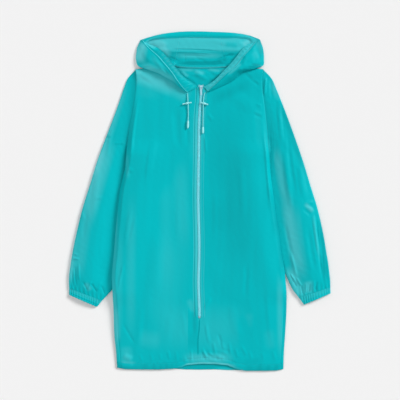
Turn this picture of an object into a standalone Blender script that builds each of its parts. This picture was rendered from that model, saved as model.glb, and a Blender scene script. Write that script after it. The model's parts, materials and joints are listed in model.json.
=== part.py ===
"""A hooded raincoat with a front zip, laid flat on its back, arms down and hood open beyond the neck.

All sizes below are millimetres in the coat's own frame and become metres in add_mesh. +Y runs from
the hem to the hood and +Z is up, away from the surface the coat lies on. Left and right are as seen
from above with the hood away from the viewer, so left is -X.
"""

import math

import bmesh
import bpy
import numpy as np

MM = 0.001

# Cloth and seams
CLOTH = 1.0            # thickness of one panel
SEAM = 0.3             # gap left between two pieces that are sewn together
LAP = 2.0              # how far a front's armhole edge lies over the sleeve
HEM_DEPTH = 14.0       # height of the turned hem
HEM_EXTRA = 0.8        # what the turned hem adds to a panel's thickness

# Places along the coat
UNDERARM_Y = 98.0
SHOULDER_TOP_Y = 395.0
TOP_ZONE_Y = 235.0     # above this a panel's rows bend towards its shoulder and neck
HEM_ZONE = 120.0       # height over which a panel's rows bend towards its hem line
ZIP_TOP_Y = 342.0
ZIP_END_Y = -353.0
NECK_LEFT = (-85.0, 409.0)
NECK_RIGHT = (95.0, 408.0)

# Heights
BACK_LIFT = 5.2        # the back's side edge, raised over the sleeve tucked under it
SHOULDER_LIFT = 1.6    # the back's shoulder edge
ARMHOLE_RISE = 4.9     # how far a front's armhole edge stands above the back
SHOULDER_ROLL = 24.0   # width of the fold along the shoulder seam
SIDE_ROLL = 34.0       # width of the roll along the side seam

# Zip
CHAIN_WIDTH = 6.0
CHAIN_HEIGHT = 2.2
TEETH_GAP = 3.4        # from the zip's middle to a front's edge
TAPE_WIDTH = 14.0
TAPE_THICK = 0.9
SLIDER_TOP_Y = 346.5
SLIDER_LOW_Y = 333.5
SLIDER_WIDTH = 10.5
SLIDER_NOSE = 7.6
PLATE_THICK = 1.4
PIN_Y = 341.0
PIN_RADIUS = 0.7
PIN_RISE = 2.4         # pin's middle above the slider's upper plate
EYE_RADIUS = 1.9
EYE_BORE = 1.1
TAB_LENGTH = 24.0
TAB_WIDTH = 4.4
TAB_THICK = 1.0
GRIP_START = 1.2       # from the pin's middle to the start of the tab's flat grip

# Drawcord
CORD_RADIUS = 1.5
STOP_RADIUS = 2.0
STOP_HUB = 3.6
STOP_BORE = 2.1
TIP_RADIUS = 3.0

# The body's side seams and armholes: height up the coat, left edge, right edge
BODY_SIDES = (
    (-516, -249, 250.5), (-455, -252.5, 252.5), (-400, -257.6, 256), (-335, -259.5, 259.8),
    (-300, -261.3, 260.5), (-267, -263, 259.5), (-245, -264.5, 257.5), (-209, -264, 254.5),
    (-164, -259, 246), (-89, -253, 236.5), (-29, -247, 227), (31, -240, 219), (76, -230, 213),
    (106, -223, 211), (169, -216, 206), (211, -211, 202), (283, -198, 193), (346, -190, 185),
    (368, -189, 185), (395, -194, 190.5),
)
# The front's hem line and the back's: across the coat, front hem, back hem
HEM_LINE = (
    (-256, -500, -500), (-226, -505.4, -504.4), (-193, -506.3, -505.3), (-133, -506.7, -505.7),
    (-82, -504.5, -504.2), (-56, -500, -505.8), (-40, -493, -506.8), (2, -489.5, -507.2),
    (46, -490, -506.5), (84, -494, -508.6), (108, -504.5, -508.6), (137, -510.4, -509.2),
    (197, -510.5, -509.5), (230, -509.7, -508.6), (260, -504, -503),
)
# Top edge of the fronts, from the sleeve over the neck to the zip: across the coat, height
FRONT_TOP = (
    (-194, 395), (-141, 402), (-85, 409), (-80, 391), (-67, 370), (-46, 355), (-25, 346), (-8, 342), (0, 342),
    (11, 342), (23, 343.5), (44, 352.5), (68, 367.5), (85, 389), (95, 408), (143, 402), (190, 395.5),
)
# Top edge of the back: across the coat, height
BACK_TOP = (
    (-194, 395), (-141, 402), (-85, 409), (-40, 405), (0, 404), (45, 405), (95, 408), (143, 402), (190, 395.5),
)
# The zip's middle line: height up the coat, place across it
ZIP_LINE = (
    (-516, -5), (-455, -6), (-410, -5.5), (-389, -3), (-353, -1.7), (-239, -4.4), (-149, -2.2), (1, -5.2),
    (151, -3.4), (257, -1.4), (317, 3.2), (350, 3.5),
)
# Room between the back and the fronts: height up the coat, room
CROWN = ((-516, 4.8), (-440, 6.8), (-300, 9), (0, 10), (200, 8.5), (300, 6.2), (345, 5.0), (409, 4.4))
# How far a sleeve is tucked under the body: height up the coat, width
TUCK = (
    (-290, 3), (-262, 9), (-230, 23), (-194, 34), (-140, 46), (-70, 57), (0, 61), (50, 58), (80, 52), (110, 47),
)
# The largest folds of the fronts: start, end, half-width, height
FOLDS = (
    (-176, 300, -196, 130, 13, 1.8),
    (-122, 200, -150, 62, 20, 1.2),
    (-112, 130, -135, -470, 34, 2.2),
    (-58, 20, -70, -480, 26, 1.4),
    (-212, -300, -218, -480, 12, 1.6),
    (196, 190, 214, -40, 13, 2.0),
    (150, 250, 168, -120, 24, 1.6),
    (44, 60, 40, -480, 30, 2.2),
    (120, -60, 150, -470, 34, 1.8),
    (226, -230, 236, -490, 14, 2.0),
)
# Sleeves, cuff seam first: outer edge x and y, inner edge x and y, bow towards the armhole's line, height
# of the outer edge, place and height of the crest, place and height of the groove at the body, height of
# the inner edge. Places are shares of the way from the outer edge to the inner one.
LEFT_SLEEVE = (
    (-393.0, -261.5, -294.0, -299.5, 0.0, 6.0, 0.50, 9.0, 0.92, 7.0, 6.0),
    (-393.8, -243.0, -277.0, -281.6, 0.0, 6.5, 0.48, 13.0, 0.94, 7.0, 5.0),
    (-392.5, -217.7, -261.5, -262.7, 0.0, 7.0, 0.46, 16.0, 0.92, 5.5, 3.2),
    (-387.8, -184.7, -247.3, -229.7, 0.0, 7.0, 0.42, 17.0, 0.86, 4.2, 2.6),
    (-381.8, -148.7, -233.8, -193.7, 0.0, 7.0, 0.40, 17.0, 0.80, 4.2, 2.5),
    (-370.4, -94.7, -217.3, -139.7, 0.0, 7.0, 0.36, 16.5, 0.74, 4.2, 2.5),
    (-352.8, -22.7, -200.8, -70.7, 0.0, 7.0, 0.33, 16.0, 0.67, 4.2, 2.5),
    (-330.2, 49.3, -188.8, -1.7, 0.0, 7.0, 0.31, 15.0, 0.63, 4.2, 2.5),
    (-308.2, 121.3, -187.0, 49.3, 0.0, 6.5, 0.31, 13.5, 0.64, 4.2, 2.5),
    (-282.8, 190.3, -197.0, 73.3, 0.1, 6.0, 0.34, 12.0, 0.72, 4.2, 2.7),
    (-252.3, 271.3, -212.0, 87.4, 0.3, 5.0, 0.38, 9.5, 0.82, 4.6, 3.0),
    (-228.8, 340.3, -220.4, 93.0, 0.6, 4.0, 0.34, 7.6, 0.88, 4.4, 3.4),
    (-216.8, 369.3, -222.2, 96.2, 0.85, 3.2, 0.28, 6.6, 0.84, 4.3, 3.4),
    (-195.4, 393.6, -223.6, 98.8, 1.0, 2.5, 0.22, 5.6, 0.80, 4.3, 3.4),
)
RIGHT_SLEEVE = (
    (391.8, -259.1, 296.2, -289.1, 0.0, 6.0, 0.50, 9.0, 0.92, 7.0, 6.0),
    (391.4, -238.7, 279.5, -267.5, 0.0, 6.5, 0.46, 13.0, 0.94, 7.0, 5.5),
    (388.6, -214.7, 267.2, -243.2, 0.0, 7.0, 0.44, 16.0, 0.94, 6.0, 4.0),
    (385.0, -184.7, 255.5, -216.2, 0.0, 7.0, 0.40, 17.0, 0.93, 4.4, 2.8),
    (379.0, -148.7, 240.2, -184.7, 0.0, 7.0, 0.38, 17.0, 0.90, 4.4, 2.6),
    (369.8, -94.7, 214.7, -135.2, 0.0, 7.0, 0.36, 16.5, 0.80, 4.5, 2.6),
    (353.2, -22.7, 192.2, -64.7, 0.0, 7.0, 0.33, 16.0, 0.74, 4.5, 2.6),
    (331.0, 49.3, 180.2, 4.3, 0.0, 7.0, 0.31, 15.0, 0.72, 4.5, 2.6),
    (309.2, 121.3, 176.5, 52.3, 0.0, 6.5, 0.31, 13.5, 0.70, 4.5, 2.6),
    (283.4, 196.3, 187.0, 74.8, 0.1, 6.0, 0.34, 12.0, 0.72, 4.6, 2.8),
    (256.0, 271.3, 199.7, 88.3, 0.3, 5.0, 0.38, 9.5, 0.82, 4.6, 3.0),
    (228.6, 340.3, 207.8, 94.3, 0.6, 4.0, 0.34, 7.6, 0.88, 4.4, 3.4),
    (215.6, 368.5, 210.3, 97.2, 0.85, 3.2, 0.28, 6.6, 0.84, 4.3, 3.4),
    (192.0, 394.4, 211.6, 98.8, 1.0, 2.5, 0.22, 5.6, 0.80, 4.3, 3.4),
)
# Cuff ends: outer corner x and y, inner corner x and y
CUFF_END = {"left": (-393.5, -281.5, -309.5, -318.5), "right": (392.5, -277.5, 312.5, -311.5)}
CUFF_WALL = 1.6
CUFF_HEIGHT = 9.0
CUFF_EDGE = 5.0
# Hood sides, crown corner first: seam to the middle panel or neckline x and y, outer fold x and y, opening
# edge x and y, radius of the fold, height of the opening edge, inner edge of the casing x, y and height
LEFT_HOOD = (
    (-56.8, 508.9, -178.6, 482.6, -171.0, 478.4, 2.4, 7.0, -155.9, 473.6, 1.6),
    (-61.3, 487.3, -187.6, 465.6, -157.3, 462.8, 4.5, 13.5, -145.4, 468.8, 5),
    (-65.8, 464.8, -191.3, 445.3, -139.3, 446.8, 6.0, 18.5, -126.8, 459.8, 7.5),
    (-70.3, 443.8, -192.0, 424.3, -122.5, 431.5, 7.0, 22.0, -107, 443, 9.5),
    (-74.8, 424.3, -184.6, 404.3, -107.8, 414.4, 7.0, 24.0, -90.8, 422.6, 11),
    (-79.9, 407.8, -155.8, 393.3, -92.5, 396.8, 6.0, 25.0, -72.8, 401.6, 12),
    (-77.5, 389.8, -124.3, 382.3, -78.6, 378.7, 5.0, 24.0, -58.4, 382.4, 11.5),
    (-69.4, 373.9, -98.3, 368.3, -67.3, 361.2, 4.0, 22.0, -44, 369.2, 10.5),
    (-55.3, 359.8, -77.5, 355.7, -57.8, 348.3, 3.2, 19.0, -29.6, 359, 9.8),
    (-40.8, 347.8, -58.6, 338.6, -46.5, 335.1, 2.6, 16.0, -15.8, 350.6, 9),
    (-33.3, 335.5, -41.8, 326.0, -36.0, 325.5, 2.2, 13.0, -7.4, 342.2, 8.2),
)
RIGHT_HOOD = (
    (57.2, 508.0, 180.4, 483.8, 173.2, 478.6, 2.4, 7.0, 153.2, 474.2, 1.6),
    (61.7, 487.3, 187.6, 467.0, 160.7, 466.9, 4.5, 13.5, 143.6, 470.9, 5),
    (66.2, 464.8, 191.3, 447.0, 144.5, 450.1, 6.0, 18.5, 131.6, 461, 7.5),
    (72.2, 443.8, 192.2, 425.8, 128.9, 432.1, 7.0, 22.0, 117.5, 443.6, 9.5),
    (79.1, 424.3, 189.6, 406.6, 115.7, 414.1, 7.0, 24.0, 103.1, 424.4, 11),
    (88.1, 407.8, 163.7, 395.8, 99.5, 397.3, 6.0, 25.0, 88.7, 407.9, 13),
    (85.7, 389.8, 127.2, 384.9, 81.5, 383.2, 5.0, 24.0, 71.9, 390.2, 14),
    (72.2, 373.7, 106.2, 366.9, 64.7, 368.5, 4.0, 22.0, 55.1, 372.8, 13.5),
    (52.7, 358.7, 85.2, 353.6, 47.9, 352.3, 3.2, 19.0, 37.1, 356.6, 12),
    (33.2, 348.0, 58.2, 341.0, 33.5, 339.7, 2.6, 16.0, 21.5, 347.6, 10.5),
    (20.2, 339.1, 30.5, 328.3, 22.7, 329.0, 2.2, 13.0, 11.3, 343.4, 8.6),
)
# Top edge of the hood: across the coat, height
HOOD_ARC = (
    (-186, 480), (-180, 483.6), (-160, 490.9), (-136, 497.2), (-112, 502.2), (-88, 505.8), (-64, 508.4),
    (-40, 509.8), (8, 509.8), (32, 508.7), (56, 508), (80, 506.8), (104, 505), (128, 501.8), (152, 497),
    (176, 487.8), (186, 481.5),
)
# Rise of the hood's inner layer off the surface below: height up the coat, rise at the middle
HOOD_FLOOR = (
    (398, 0.0), (412, 0.3), (424, 0.8), (438, 2.4), (446, 6.0), (452, 8.0), (462, 7.0), (482, 7.0),
    (496, 5.0), (508, 1.2), (514, 0.4),
)
CASING_WIDTH = 20.0    # along the hood's top edge
CASING_TUCK = 2.5      # how far the casing reaches under the hood's opening edge
# Drawcord routes: x, y and height of the cord's middle above the front
LEFT_CORD = (
    (-37.3, 322.6, 2.4), (-36.9, 314, 2.1), (-36.2, 302, 3.3), (-35.4, 292, 4.0),
    (-35.2, 282, 3.3), (-35.0, 266, 1.9), (-34.9, 252, 2.5), (-35.3, 241.5, 3.7),
)
RIGHT_CORD = (
    (15.0, 325.0, 2.4), (12.4, 317, 2.1), (10.8, 304, 3.3), (10.1, 292, 4.0),
    (9.8, 282, 3.3), (9.3, 262, 1.9), (9.0, 240, 2.4), (9.0, 222.5, 3.7),
)
# Cord stoppers: both ends of the bar x and y
STOPPERS = {"left": (-52.4, 290.0, -24.8, 295.0), "right": (1.2, 295.0, 24.6, 288.6)}
TIP_LENGTH = {"left": 24.0, "right": 20.0}

CENTRE = (-0.63, -0.33)   # middle of the whole coat in the tables above

CLOTH_COLOUR = (0.004, 0.48, 0.53, 1.0)
ZIP_COLOUR = (0.60, 0.82, 0.90, 1.0)
CORD_COLOUR = (0.50, 0.84, 0.88, 1.0)
PLASTIC_COLOUR = (0.62, 0.80, 0.84, 1.0)
METAL_COLOUR = (0.66, 0.68, 0.78, 1.0)


# ---------------------------------------------------------------- shapes worked out from the tables

def columns(rows):
    """The columns of a table, as arrays."""
    return np.array(rows, float).T


def read(x, xs, ys):
    """A smooth curve through a table's points, read at x: cubic, with the slope of the neighbours."""
    slopes = np.gradient(ys, xs)
    x = np.clip(x, xs[0], xs[-1])
    i = np.clip(np.searchsorted(xs, x, side="right") - 1, 0, len(xs) - 2)
    step = xs[i + 1] - xs[i]
    t = (x - xs[i]) / step
    near, far = slopes[i] * step, slopes[i + 1] * step
    rise = ys[i + 1] - ys[i]
    return ys[i] + t * near + t * t * (3 * rise - 2 * near - far) + t ** 3 * (near + far - 2 * rise)


def ease(q):
    """From 0 to 1, level at both ends."""
    q = np.clip(q, 0.0, 1.0)
    return q * q * (3.0 - 2.0 * q)


def roll(q):
    """From 0 to 1 as a quarter circle: steep first, then level."""
    q = np.clip(q, 0.0, 1.0)
    return np.sqrt(np.maximum(1.0 - (1.0 - q) ** 2, 0.0))


def resample(rows, count):
    """A table's rows read again at count even places along it."""
    values = columns(rows)
    places = np.arange(values.shape[1], dtype=float)
    at = np.linspace(0.0, places[-1], count)
    return np.stack([read(at, places, column) for column in values])


SIDE_Y, SIDE_LEFT, SIDE_RIGHT = columns(BODY_SIDES)
HEM_X, HEM_FRONT, HEM_BACK = columns(HEM_LINE)
FRONT_TOP_X, FRONT_TOP_Y = columns(FRONT_TOP)
BACK_TOP_X, BACK_TOP_Y = columns(BACK_TOP)
ZIP_Y, ZIP_X = columns(ZIP_LINE)
CROWN_Y, CROWN_ROOM = columns(CROWN)
TUCK_Y, TUCK_WIDTH = columns(TUCK)
FLOOR_Y, FLOOR_RISE = columns(HOOD_FLOOR)


def side_x(side, y):
    """The body's edge at height y: side -1 is the left one, 1 the right one."""
    return read(y, SIDE_Y, SIDE_LEFT if side < 0 else SIDE_RIGHT)


def zip_x(y):
    """The zip's middle line at height y."""
    return read(y, ZIP_Y, ZIP_X)


def edge_distance(x, y):
    """How far a point is in from the nearer side edge."""
    return np.minimum(x - side_x(-1, y), side_x(1, y) - x)


def shoulder_distance(x, y):
    """How far a point is below the shoulder seams and the back of the neck."""
    return np.interp(x, BACK_TOP_X, BACK_TOP_Y) - y


def back_lift(x, y):
    """Height of the back's underside: 0 on the surface, raised where a sleeve is tucked below it."""
    along = ease((y + 318.0) / 50.0) * (1.0 - ease((y - UNDERARM_Y - 36.0) / 56.0))
    across = 1.0 - ease((edge_distance(x, y) - read(y, TUCK_Y, TUCK_WIDTH)) / 36.0)
    shoulder = (1.0 - ease(shoulder_distance(x, y) / 40.0)) * ease((np.abs(x) - 95.0) / 60.0)
    return BACK_LIFT * along * across + SHOULDER_LIFT * shoulder


def fold_height(x, y):
    """The large soft folds: each a rounded ridge along a line, fading out at both ends."""
    total = np.zeros(np.broadcast(x, y).shape)
    for x0, y0, x1, y1, half, height in FOLDS:
        length = math.hypot(x1 - x0, y1 - y0)
        ux, uy = (x1 - x0) / length, (y1 - y0) / length
        along = ((x - x0) * ux + (y - y0) * uy) / length
        off = np.abs((x - x0) * uy - (y - y0) * ux) / half
        total = total + height * ease(1.0 - off) * ease(along / 0.25) * ease((1.0 - along) / 0.25)
    return total


def front_under(x, y):
    """Height of the fronts' underside: over the back, with room that grows in from the edges."""
    rise = ARMHOLE_RISE * ease((y - UNDERARM_Y) / 55.0)
    crown = read(y, CROWN_Y, CROWN_ROOM) + fold_height(x, y)
    room = rise + np.maximum(crown - rise, 0.0) * roll(edge_distance(x, y) / SIDE_ROLL)
    room = room * roll((shoulder_distance(x, y) + 0.5) / SHOULDER_ROLL)
    return back_lift(x, y) + CLOTH + SEAM + room


def front_top(x, y):
    """Height of the fronts' upper side."""
    return front_under(x, y) + CLOTH


def below_hood(x, y):
    """Height of what the hood lies on: the surface, the shoulder and front, or the back inside the neck."""
    body = front_top(x, np.minimum(y, np.interp(x, BACK_TOP_X, BACK_TOP_Y))) + 2.0 * SEAM
    body = body + 4.0 * SEAM * ease(1.0 - np.abs(shoulder_distance(x, y) - 5.0) / 11.0)
    inside = ease(np.minimum(x + 80.0, 90.0 - x) / 12.0) * ease((y - 394.0) / 8.0)
    body = body + (CLOTH + SEAM - body) * inside
    return body * (1.0 - ease(-(shoulder_distance(x, y) + 2.0) / 12.0))


def hood_rise(x, y):
    """Rise of the hood's inner layer, which fades towards the outer folds."""
    fade = 1.0 - ease((np.abs(x) - 95.0) / 60.0)
    return read(y, FLOOR_Y, FLOOR_RISE) * fade


# ---------------------------------------------------------------- meshes

def material(name, colour, roughness, metallic=0.0):
    """A plain surface of one colour."""
    made = bpy.data.materials.new(name)
    made.use_nodes = True
    shader = made.node_tree.nodes["Principled BSDF"]
    shader.inputs["Base Color"].default_value = colour
    shader.inputs["Roughness"].default_value = roughness
    shader.inputs["Metallic"].default_value = metallic
    made.diffuse_color = colour
    return made


def add_mesh(name, points, faces, look):
    """One named object from points in millimetres, its faces turned outwards."""
    mesh = bpy.data.meshes.new(name)
    places = np.asarray(points, float) - (CENTRE[0], CENTRE[1], 0.0)
    mesh.from_pydata((places * MM).tolist(), [], faces)
    work = bmesh.new()
    work.from_mesh(mesh)
    bmesh.ops.recalc_face_normals(work, faces=work.faces)
    work.to_mesh(mesh)
    work.free()
    mesh.shade_smooth()
    mesh.set_sharp_from_angle(angle=math.radians(40.0))
    mesh.materials.append(look)
    made = bpy.data.objects.new(name, mesh)
    bpy.context.scene.collection.objects.link(made)
    return made


def grid_faces(rows, cols, first, ring):
    """Quads of a grid whose points start at index first. A ring's last column meets its first."""
    faces = []
    for r in range(rows - 1):
        for c in range(cols if ring else cols - 1):
            d = (c + 1) % cols
            faces.append((first + r * cols + c, first + r * cols + d,
                          first + (r + 1) * cols + d, first + (r + 1) * cols + c))
    return faces


def add_wall(name, one_side, other_side, look, ring=False):
    """A closed wall between two grids of points, each rows x columns x 3."""
    rows, cols = one_side.shape[:2]
    count = rows * cols
    faces = grid_faces(rows, cols, 0, ring)
    faces += [tuple(reversed(f)) for f in grid_faces(rows, cols, count, ring)]
    rim = []
    if ring:
        for r in (0, rows - 1):
            rim.append([r * cols + c for c in range(cols)] + [r * cols])
    else:
        rim.append([c for c in range(cols)] + [r * cols + cols - 1 for r in range(1, rows)]
                   + [(rows - 1) * cols + c for c in range(cols - 2, -1, -1)]
                   + [r * cols for r in range(rows - 2, -1, -1)])
    for loop in rim:
        for a, b in zip(loop[:-1], loop[1:]):
            faces.append((b, a, count + a, count + b))
    points = np.concatenate([one_side.reshape(-1, 3), other_side.reshape(-1, 3)])
    return add_mesh(name, points, faces, look)


def normals(grid):
    """Unit normals of a grid of points, with the smaller neighbours' differences at its rims."""
    along = np.gradient(grid, axis=0)
    across = np.gradient(grid, axis=1)
    normal = np.cross(across, along)
    return normal / np.maximum(np.linalg.norm(normal, axis=2, keepdims=True), 1e-9)


def stacked(x, y, low, thick):
    """Lower and upper grids of a panel of the given thickness, measured square to its slope."""
    lower = np.stack([x, y, low], axis=2)
    normal = normals(lower)
    normal *= np.sign(normal[..., 2:3])
    upper = lower + normal * np.broadcast_to(thick, x.shape)[..., None]
    upper[..., :2] = lower[..., :2]
    upper[..., 2] = low + np.broadcast_to(thick, x.shape) / np.maximum(normal[..., 2], 0.6)
    return lower, upper


# ---------------------------------------------------------------- body

BODY_ROWS = (-516, -502.5, -501.5, -460, -405, -357, -350, -300, -262, -225, -180, -120, -55, 10, 60, 95, 120,
             145, 170, 210, 255, 300, 342, 367, 382, 391, 395)
BACK_ROWS = tuple(row for row in BODY_ROWS if row not in (-502.5, -357))
FRONT_COLUMNS = (0.0, 0.08, 0.18, 0.30, 0.43, 0.57, 0.70, 0.81, 0.89, 0.95, 0.985, 1.0)
BACK_COLUMNS = (0.0, 0.03, 0.07, 0.12, 0.17, 0.23, 0.35, 0.50, 0.65, 0.77, 0.83, 0.88, 0.93, 0.97, 1.0)


def bent_rows(x, row, hem, top_x, top_y):
    """Heights of a panel's points: straight rows in the middle, bent to the hem and to the top edge."""
    low = (1.0 - ease((row - SIDE_Y[0]) / HEM_ZONE)) * (np.interp(x, HEM_X, hem) - SIDE_Y[0])
    share = ease((row - TOP_ZONE_Y) / (SHOULDER_TOP_Y - TOP_ZONE_Y))
    return row + low + share * (np.interp(x, top_x, top_y) - SHOULDER_TOP_Y)


def hem_thickness(row):
    """One cloth, and more where the hem is turned."""
    return np.where(row <= SIDE_Y[0] + HEM_DEPTH - 0.5, CLOTH + HEM_EXTRA, CLOTH)


def make_back(look):
    """The back: flat on the surface, its sides raised over the tucked sleeves."""
    row, share = np.meshgrid(np.array(BACK_ROWS, float), np.array(BACK_COLUMNS), indexing="ij")
    x = side_x(-1, row) + (side_x(1, row) - side_x(-1, row)) * share
    y = bent_rows(x, row, HEM_BACK, BACK_TOP_X, BACK_TOP_Y)
    add_wall("back_panel", *stacked(x, y, back_lift(x, y), CLOTH), look)


def make_front(side, name, look):
    """One front: from the zip, or the seam below it, to the side seam and over the sleeve's edge."""
    row, share = np.meshgrid(np.array(BODY_ROWS, float), np.array(FRONT_COLUMNS), indexing="ij")
    lap = LAP * ease((row - UNDERARM_Y) / 24.0) * (1.0 - ease((row - 368.0) / 24.0))
    outer = side_x(side, row) + side * lap
    zip_y = bent_rows(0.0, row, HEM_FRONT, FRONT_TOP_X, FRONT_TOP_Y)
    middle = zip_x(zip_y) + side * np.where(row > ZIP_END_Y, TEETH_GAP, 0.5 * SEAM)
    x = middle + (outer - middle) * share
    y = bent_rows(x, row, HEM_FRONT, FRONT_TOP_X, FRONT_TOP_Y)
    inside = np.where(side * (x - side_x(side, y)) > 0.0, side_x(side, y), x)
    low = front_under(inside, y)
    add_wall(name, *stacked(x, y, low, hem_thickness(row)), look)


# ---------------------------------------------------------------- sleeves and cuffs

SLEEVE_STATIONS = 18
OVER_SHARES = (0.0, 0.015, 0.07, 0.17, 0.29, 0.42, 0.55, 0.67, 0.76, 0.87, 0.975, 1.0)
UNDER_SHARES = (0.97, 0.8, 0.62, 0.44, 0.22, 0.03)


def section_height(share, edge, crest_at, crest, groove_at, groove, inner):
    """Height of a sleeve across one section: quick rise to the crest, ease down to the groove and edge."""
    up = edge + (crest - edge) * np.sin(0.5 * math.pi * np.clip(share / crest_at, 0.0, 1.0))
    down = crest + (groove - crest) * ease((share - crest_at) / (groove_at - crest_at))
    flat = groove + (inner - groove) * ease((share - groove_at) / (1.0 - groove_at))
    return np.where(share < crest_at, up, np.where(share < groove_at, down, flat))


def ring_shares(width, inset):
    """Places across a flat tube: along its upper side from the outer edge, and back along its underside."""
    keep = 1.0 - 2.0 * inset / width
    return inset / width + np.array(OVER_SHARES) * keep, inset / width + np.array(UNDER_SHARES) * keep


def armhole_bow(side, share, gap):
    """What bends the sleeve's straight armhole line to the body's edge, a gap away from it."""
    last = (LEFT_SLEEVE if side < 0 else RIGHT_SLEEVE)[-1]
    x, y = last[0] + (last[2] - last[0]) * share, last[1] + (last[3] - last[1]) * share
    return side_x(side, y) + side * gap - x


def sleeve_ring(side, station, inset):
    """One ring of a sleeve's wall. inset is the depth into the wall."""
    ox, oy, nx, ny, bow, edge, crest_at, crest, groove_at, groove, inner = station
    over, under = ring_shares(math.hypot(nx - ox, ny - oy), inset)
    share = np.concatenate([over, under])
    top = section_height(over, edge, crest_at, crest, groove_at, groove, inner) - inset
    top[0], top[-1] = 0.5 * edge, 0.5 * inner
    z = np.concatenate([top, np.full(len(under), inset)])
    gap = np.concatenate([np.full(len(over), 2.0 * SEAM), np.full(len(under), 4.0 * SEAM)])
    x = ox + (nx - ox) * share + bow * armhole_bow(side, share, gap)
    return np.stack([x, oy + (ny - oy) * share, z], axis=1)


def make_sleeve(side, name, rows, look):
    """A one-piece sleeve laid flat: a tube of rings from the cuff seam to the armhole."""
    stations = resample(rows, SLEEVE_STATIONS).T
    outer = np.stack([sleeve_ring(side, s, 0.0) for s in stations])
    inner = np.stack([sleeve_ring(side, s, CLOTH) for s in stations])
    add_wall(name, outer, inner, look, ring=True)


def make_cuff(name, seam_row, end_row, look):
    """An elastic cuff: a flat tube from the sleeve's end to the hand opening."""
    ox, oy, nx, ny = seam_row[:4]
    ex, ey, fx, fy = end_row
    outer, inner = [], []
    for step in (1.3 * SEAM / math.hypot(ex - ox, ey - oy), 0.5, 1.0):
        px, py = ox + (ex - ox) * step, oy + (ey - oy) * step
        qx, qy = nx + (fx - nx) * step, ny + (fy - ny) * step
        for rings, inset in ((outer, 0.0), (inner, CUFF_WALL)):
            over, under = ring_shares(math.hypot(qx - px, qy - py), inset)
            share = np.concatenate([over, under])
            top = CUFF_EDGE + (CUFF_HEIGHT - CUFF_EDGE) * np.sin(math.pi * over) - inset
            top[0] = top[-1] = 0.5 * CUFF_EDGE
            z = np.concatenate([top, np.full(len(under), inset)])
            rings.append(np.stack([px + (qx - px) * share, py + (qy - py) * share, z], axis=1))
    add_wall(name, np.stack(outer), np.stack(inner), look, ring=True)


# ---------------------------------------------------------------- hood

HOOD_ROWS = 15
CROWN_ZONE = 0.2       # share of a hood side's rows that bend to the hood's curved top edge
FLOOR_SHARES = (0.0, 0.12, 0.3, 0.5, 0.7, 0.88)
TURN_STEPS = (0.0, 0.2, 0.5, 0.8, 1.0)
CENTRE_SHARES = (0.0, 0.05, 0.1, 0.16, 0.3, 0.5, 0.7, 0.84, 0.9, 0.95, 1.0)
WING_SHARES = (0.15, 0.38, 0.65, 0.86, 1.0)
ARC_X, ARC_Y = columns(HOOD_ARC)
CORNERS_X = (LEFT_HOOD[0][2], LEFT_HOOD[0][0], RIGHT_HOOD[0][0], RIGHT_HOOD[0][2])
CORNERS_Y = (LEFT_HOOD[0][3], LEFT_HOOD[0][1], RIGHT_HOOD[0][1], RIGHT_HOOD[0][3])


def crown_bow(x, row):
    """What bends the hood's first rows from straight lines between its corners to its curved top edge."""
    share = 1.0 - ease(row / (HOOD_ROWS - 1) / CROWN_ZONE)
    return share * (np.interp(x, ARC_X, ARC_Y) - np.interp(x, CORNERS_X, CORNERS_Y))


def hood_side_grids(rows):
    """A hood side: along the surface to the outer fold, round it and back to the opening edge."""
    gx, gy, fx, fy, ex, ey, radius, crest = resample(rows, HOOD_ROWS)[:8]
    outer, inner = [], []
    for k in range(HOOD_ROWS):
        seam, fold, edge = (np.array(p) for p in ((gx[k], gy[k]), (fx[k], fy[k]), (ex[k], ey[k])))
        out = fold - 0.5 * (seam + edge)
        out = out / np.linalg.norm(out)
        heel = fold - out * radius[k]
        base = float(below_hood(heel[0], heel[1]))
        for points, inset in ((outer, 0.0), (inner, CLOTH)):
            line = []
            for s in FLOOR_SHARES:
                p = seam + (heel - seam) * s
                bent = p[1] + float(crown_bow(p[0], k))
                line.append((p[0], p[1], below_hood(p[0], bent) + hood_rise(p[0], bent) + inset))
            for t in TURN_STEPS:
                turn = math.pi * (t - 0.5)
                p = heel + out * (radius[k] - inset) * math.cos(turn)
                line.append((p[0], p[1], base + radius[k] + (radius[k] - inset) * math.sin(turn)))
            start = base + 2.0 * radius[k] - inset
            for s in WING_SHARES:
                p = heel + (edge - heel) * s
                rise = math.sin(0.5 * math.pi * min(s / 0.9, 1.0))
                fall = 1.5 * max(0.0, (s - 0.86) / 0.14) ** 2
                line.append((p[0], p[1], start + (crest[k] - inset - start) * rise - fall))
            points.append([(p[0], p[1] + float(crown_bow(p[0], k)), p[2]) for p in line])
    return np.array(outer), np.array(inner)


def make_hood_side(name, rows, look):
    """One hood side panel, sewn to the middle panel and to the neck."""
    outer, inner = hood_side_grids(rows)
    add_wall(name, outer, inner, look)


def make_hood_centre(look):
    """The hood's middle panel, from the back of the neck to the crown edge."""
    left = resample(LEFT_HOOD, HOOD_ROWS)
    right = resample(RIGHT_HOOD, HOOD_ROWS)
    rows = [k for k in range(HOOD_ROWS) if left[1][k] > 404.0]
    share = np.array(CENTRE_SHARES)
    x, y = [], []
    for k in rows:
        x0, x1 = left[0][k] + 1.5 * SEAM, right[0][k] - 1.5 * SEAM
        x.append(x0 + (x1 - x0) * share)
        y.append(left[1][k] + (right[1][k] - left[1][k]) * share + crown_bow(x[-1], k))
    x, y = np.array(x), np.array(y)
    y[-1] = np.interp(x[-1], BACK_TOP_X, BACK_TOP_Y) - 3.0
    low = below_hood(x, y) + hood_rise(x, y)
    add_wall("hood_centre", *stacked(x, y, low, CLOTH), look)


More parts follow.
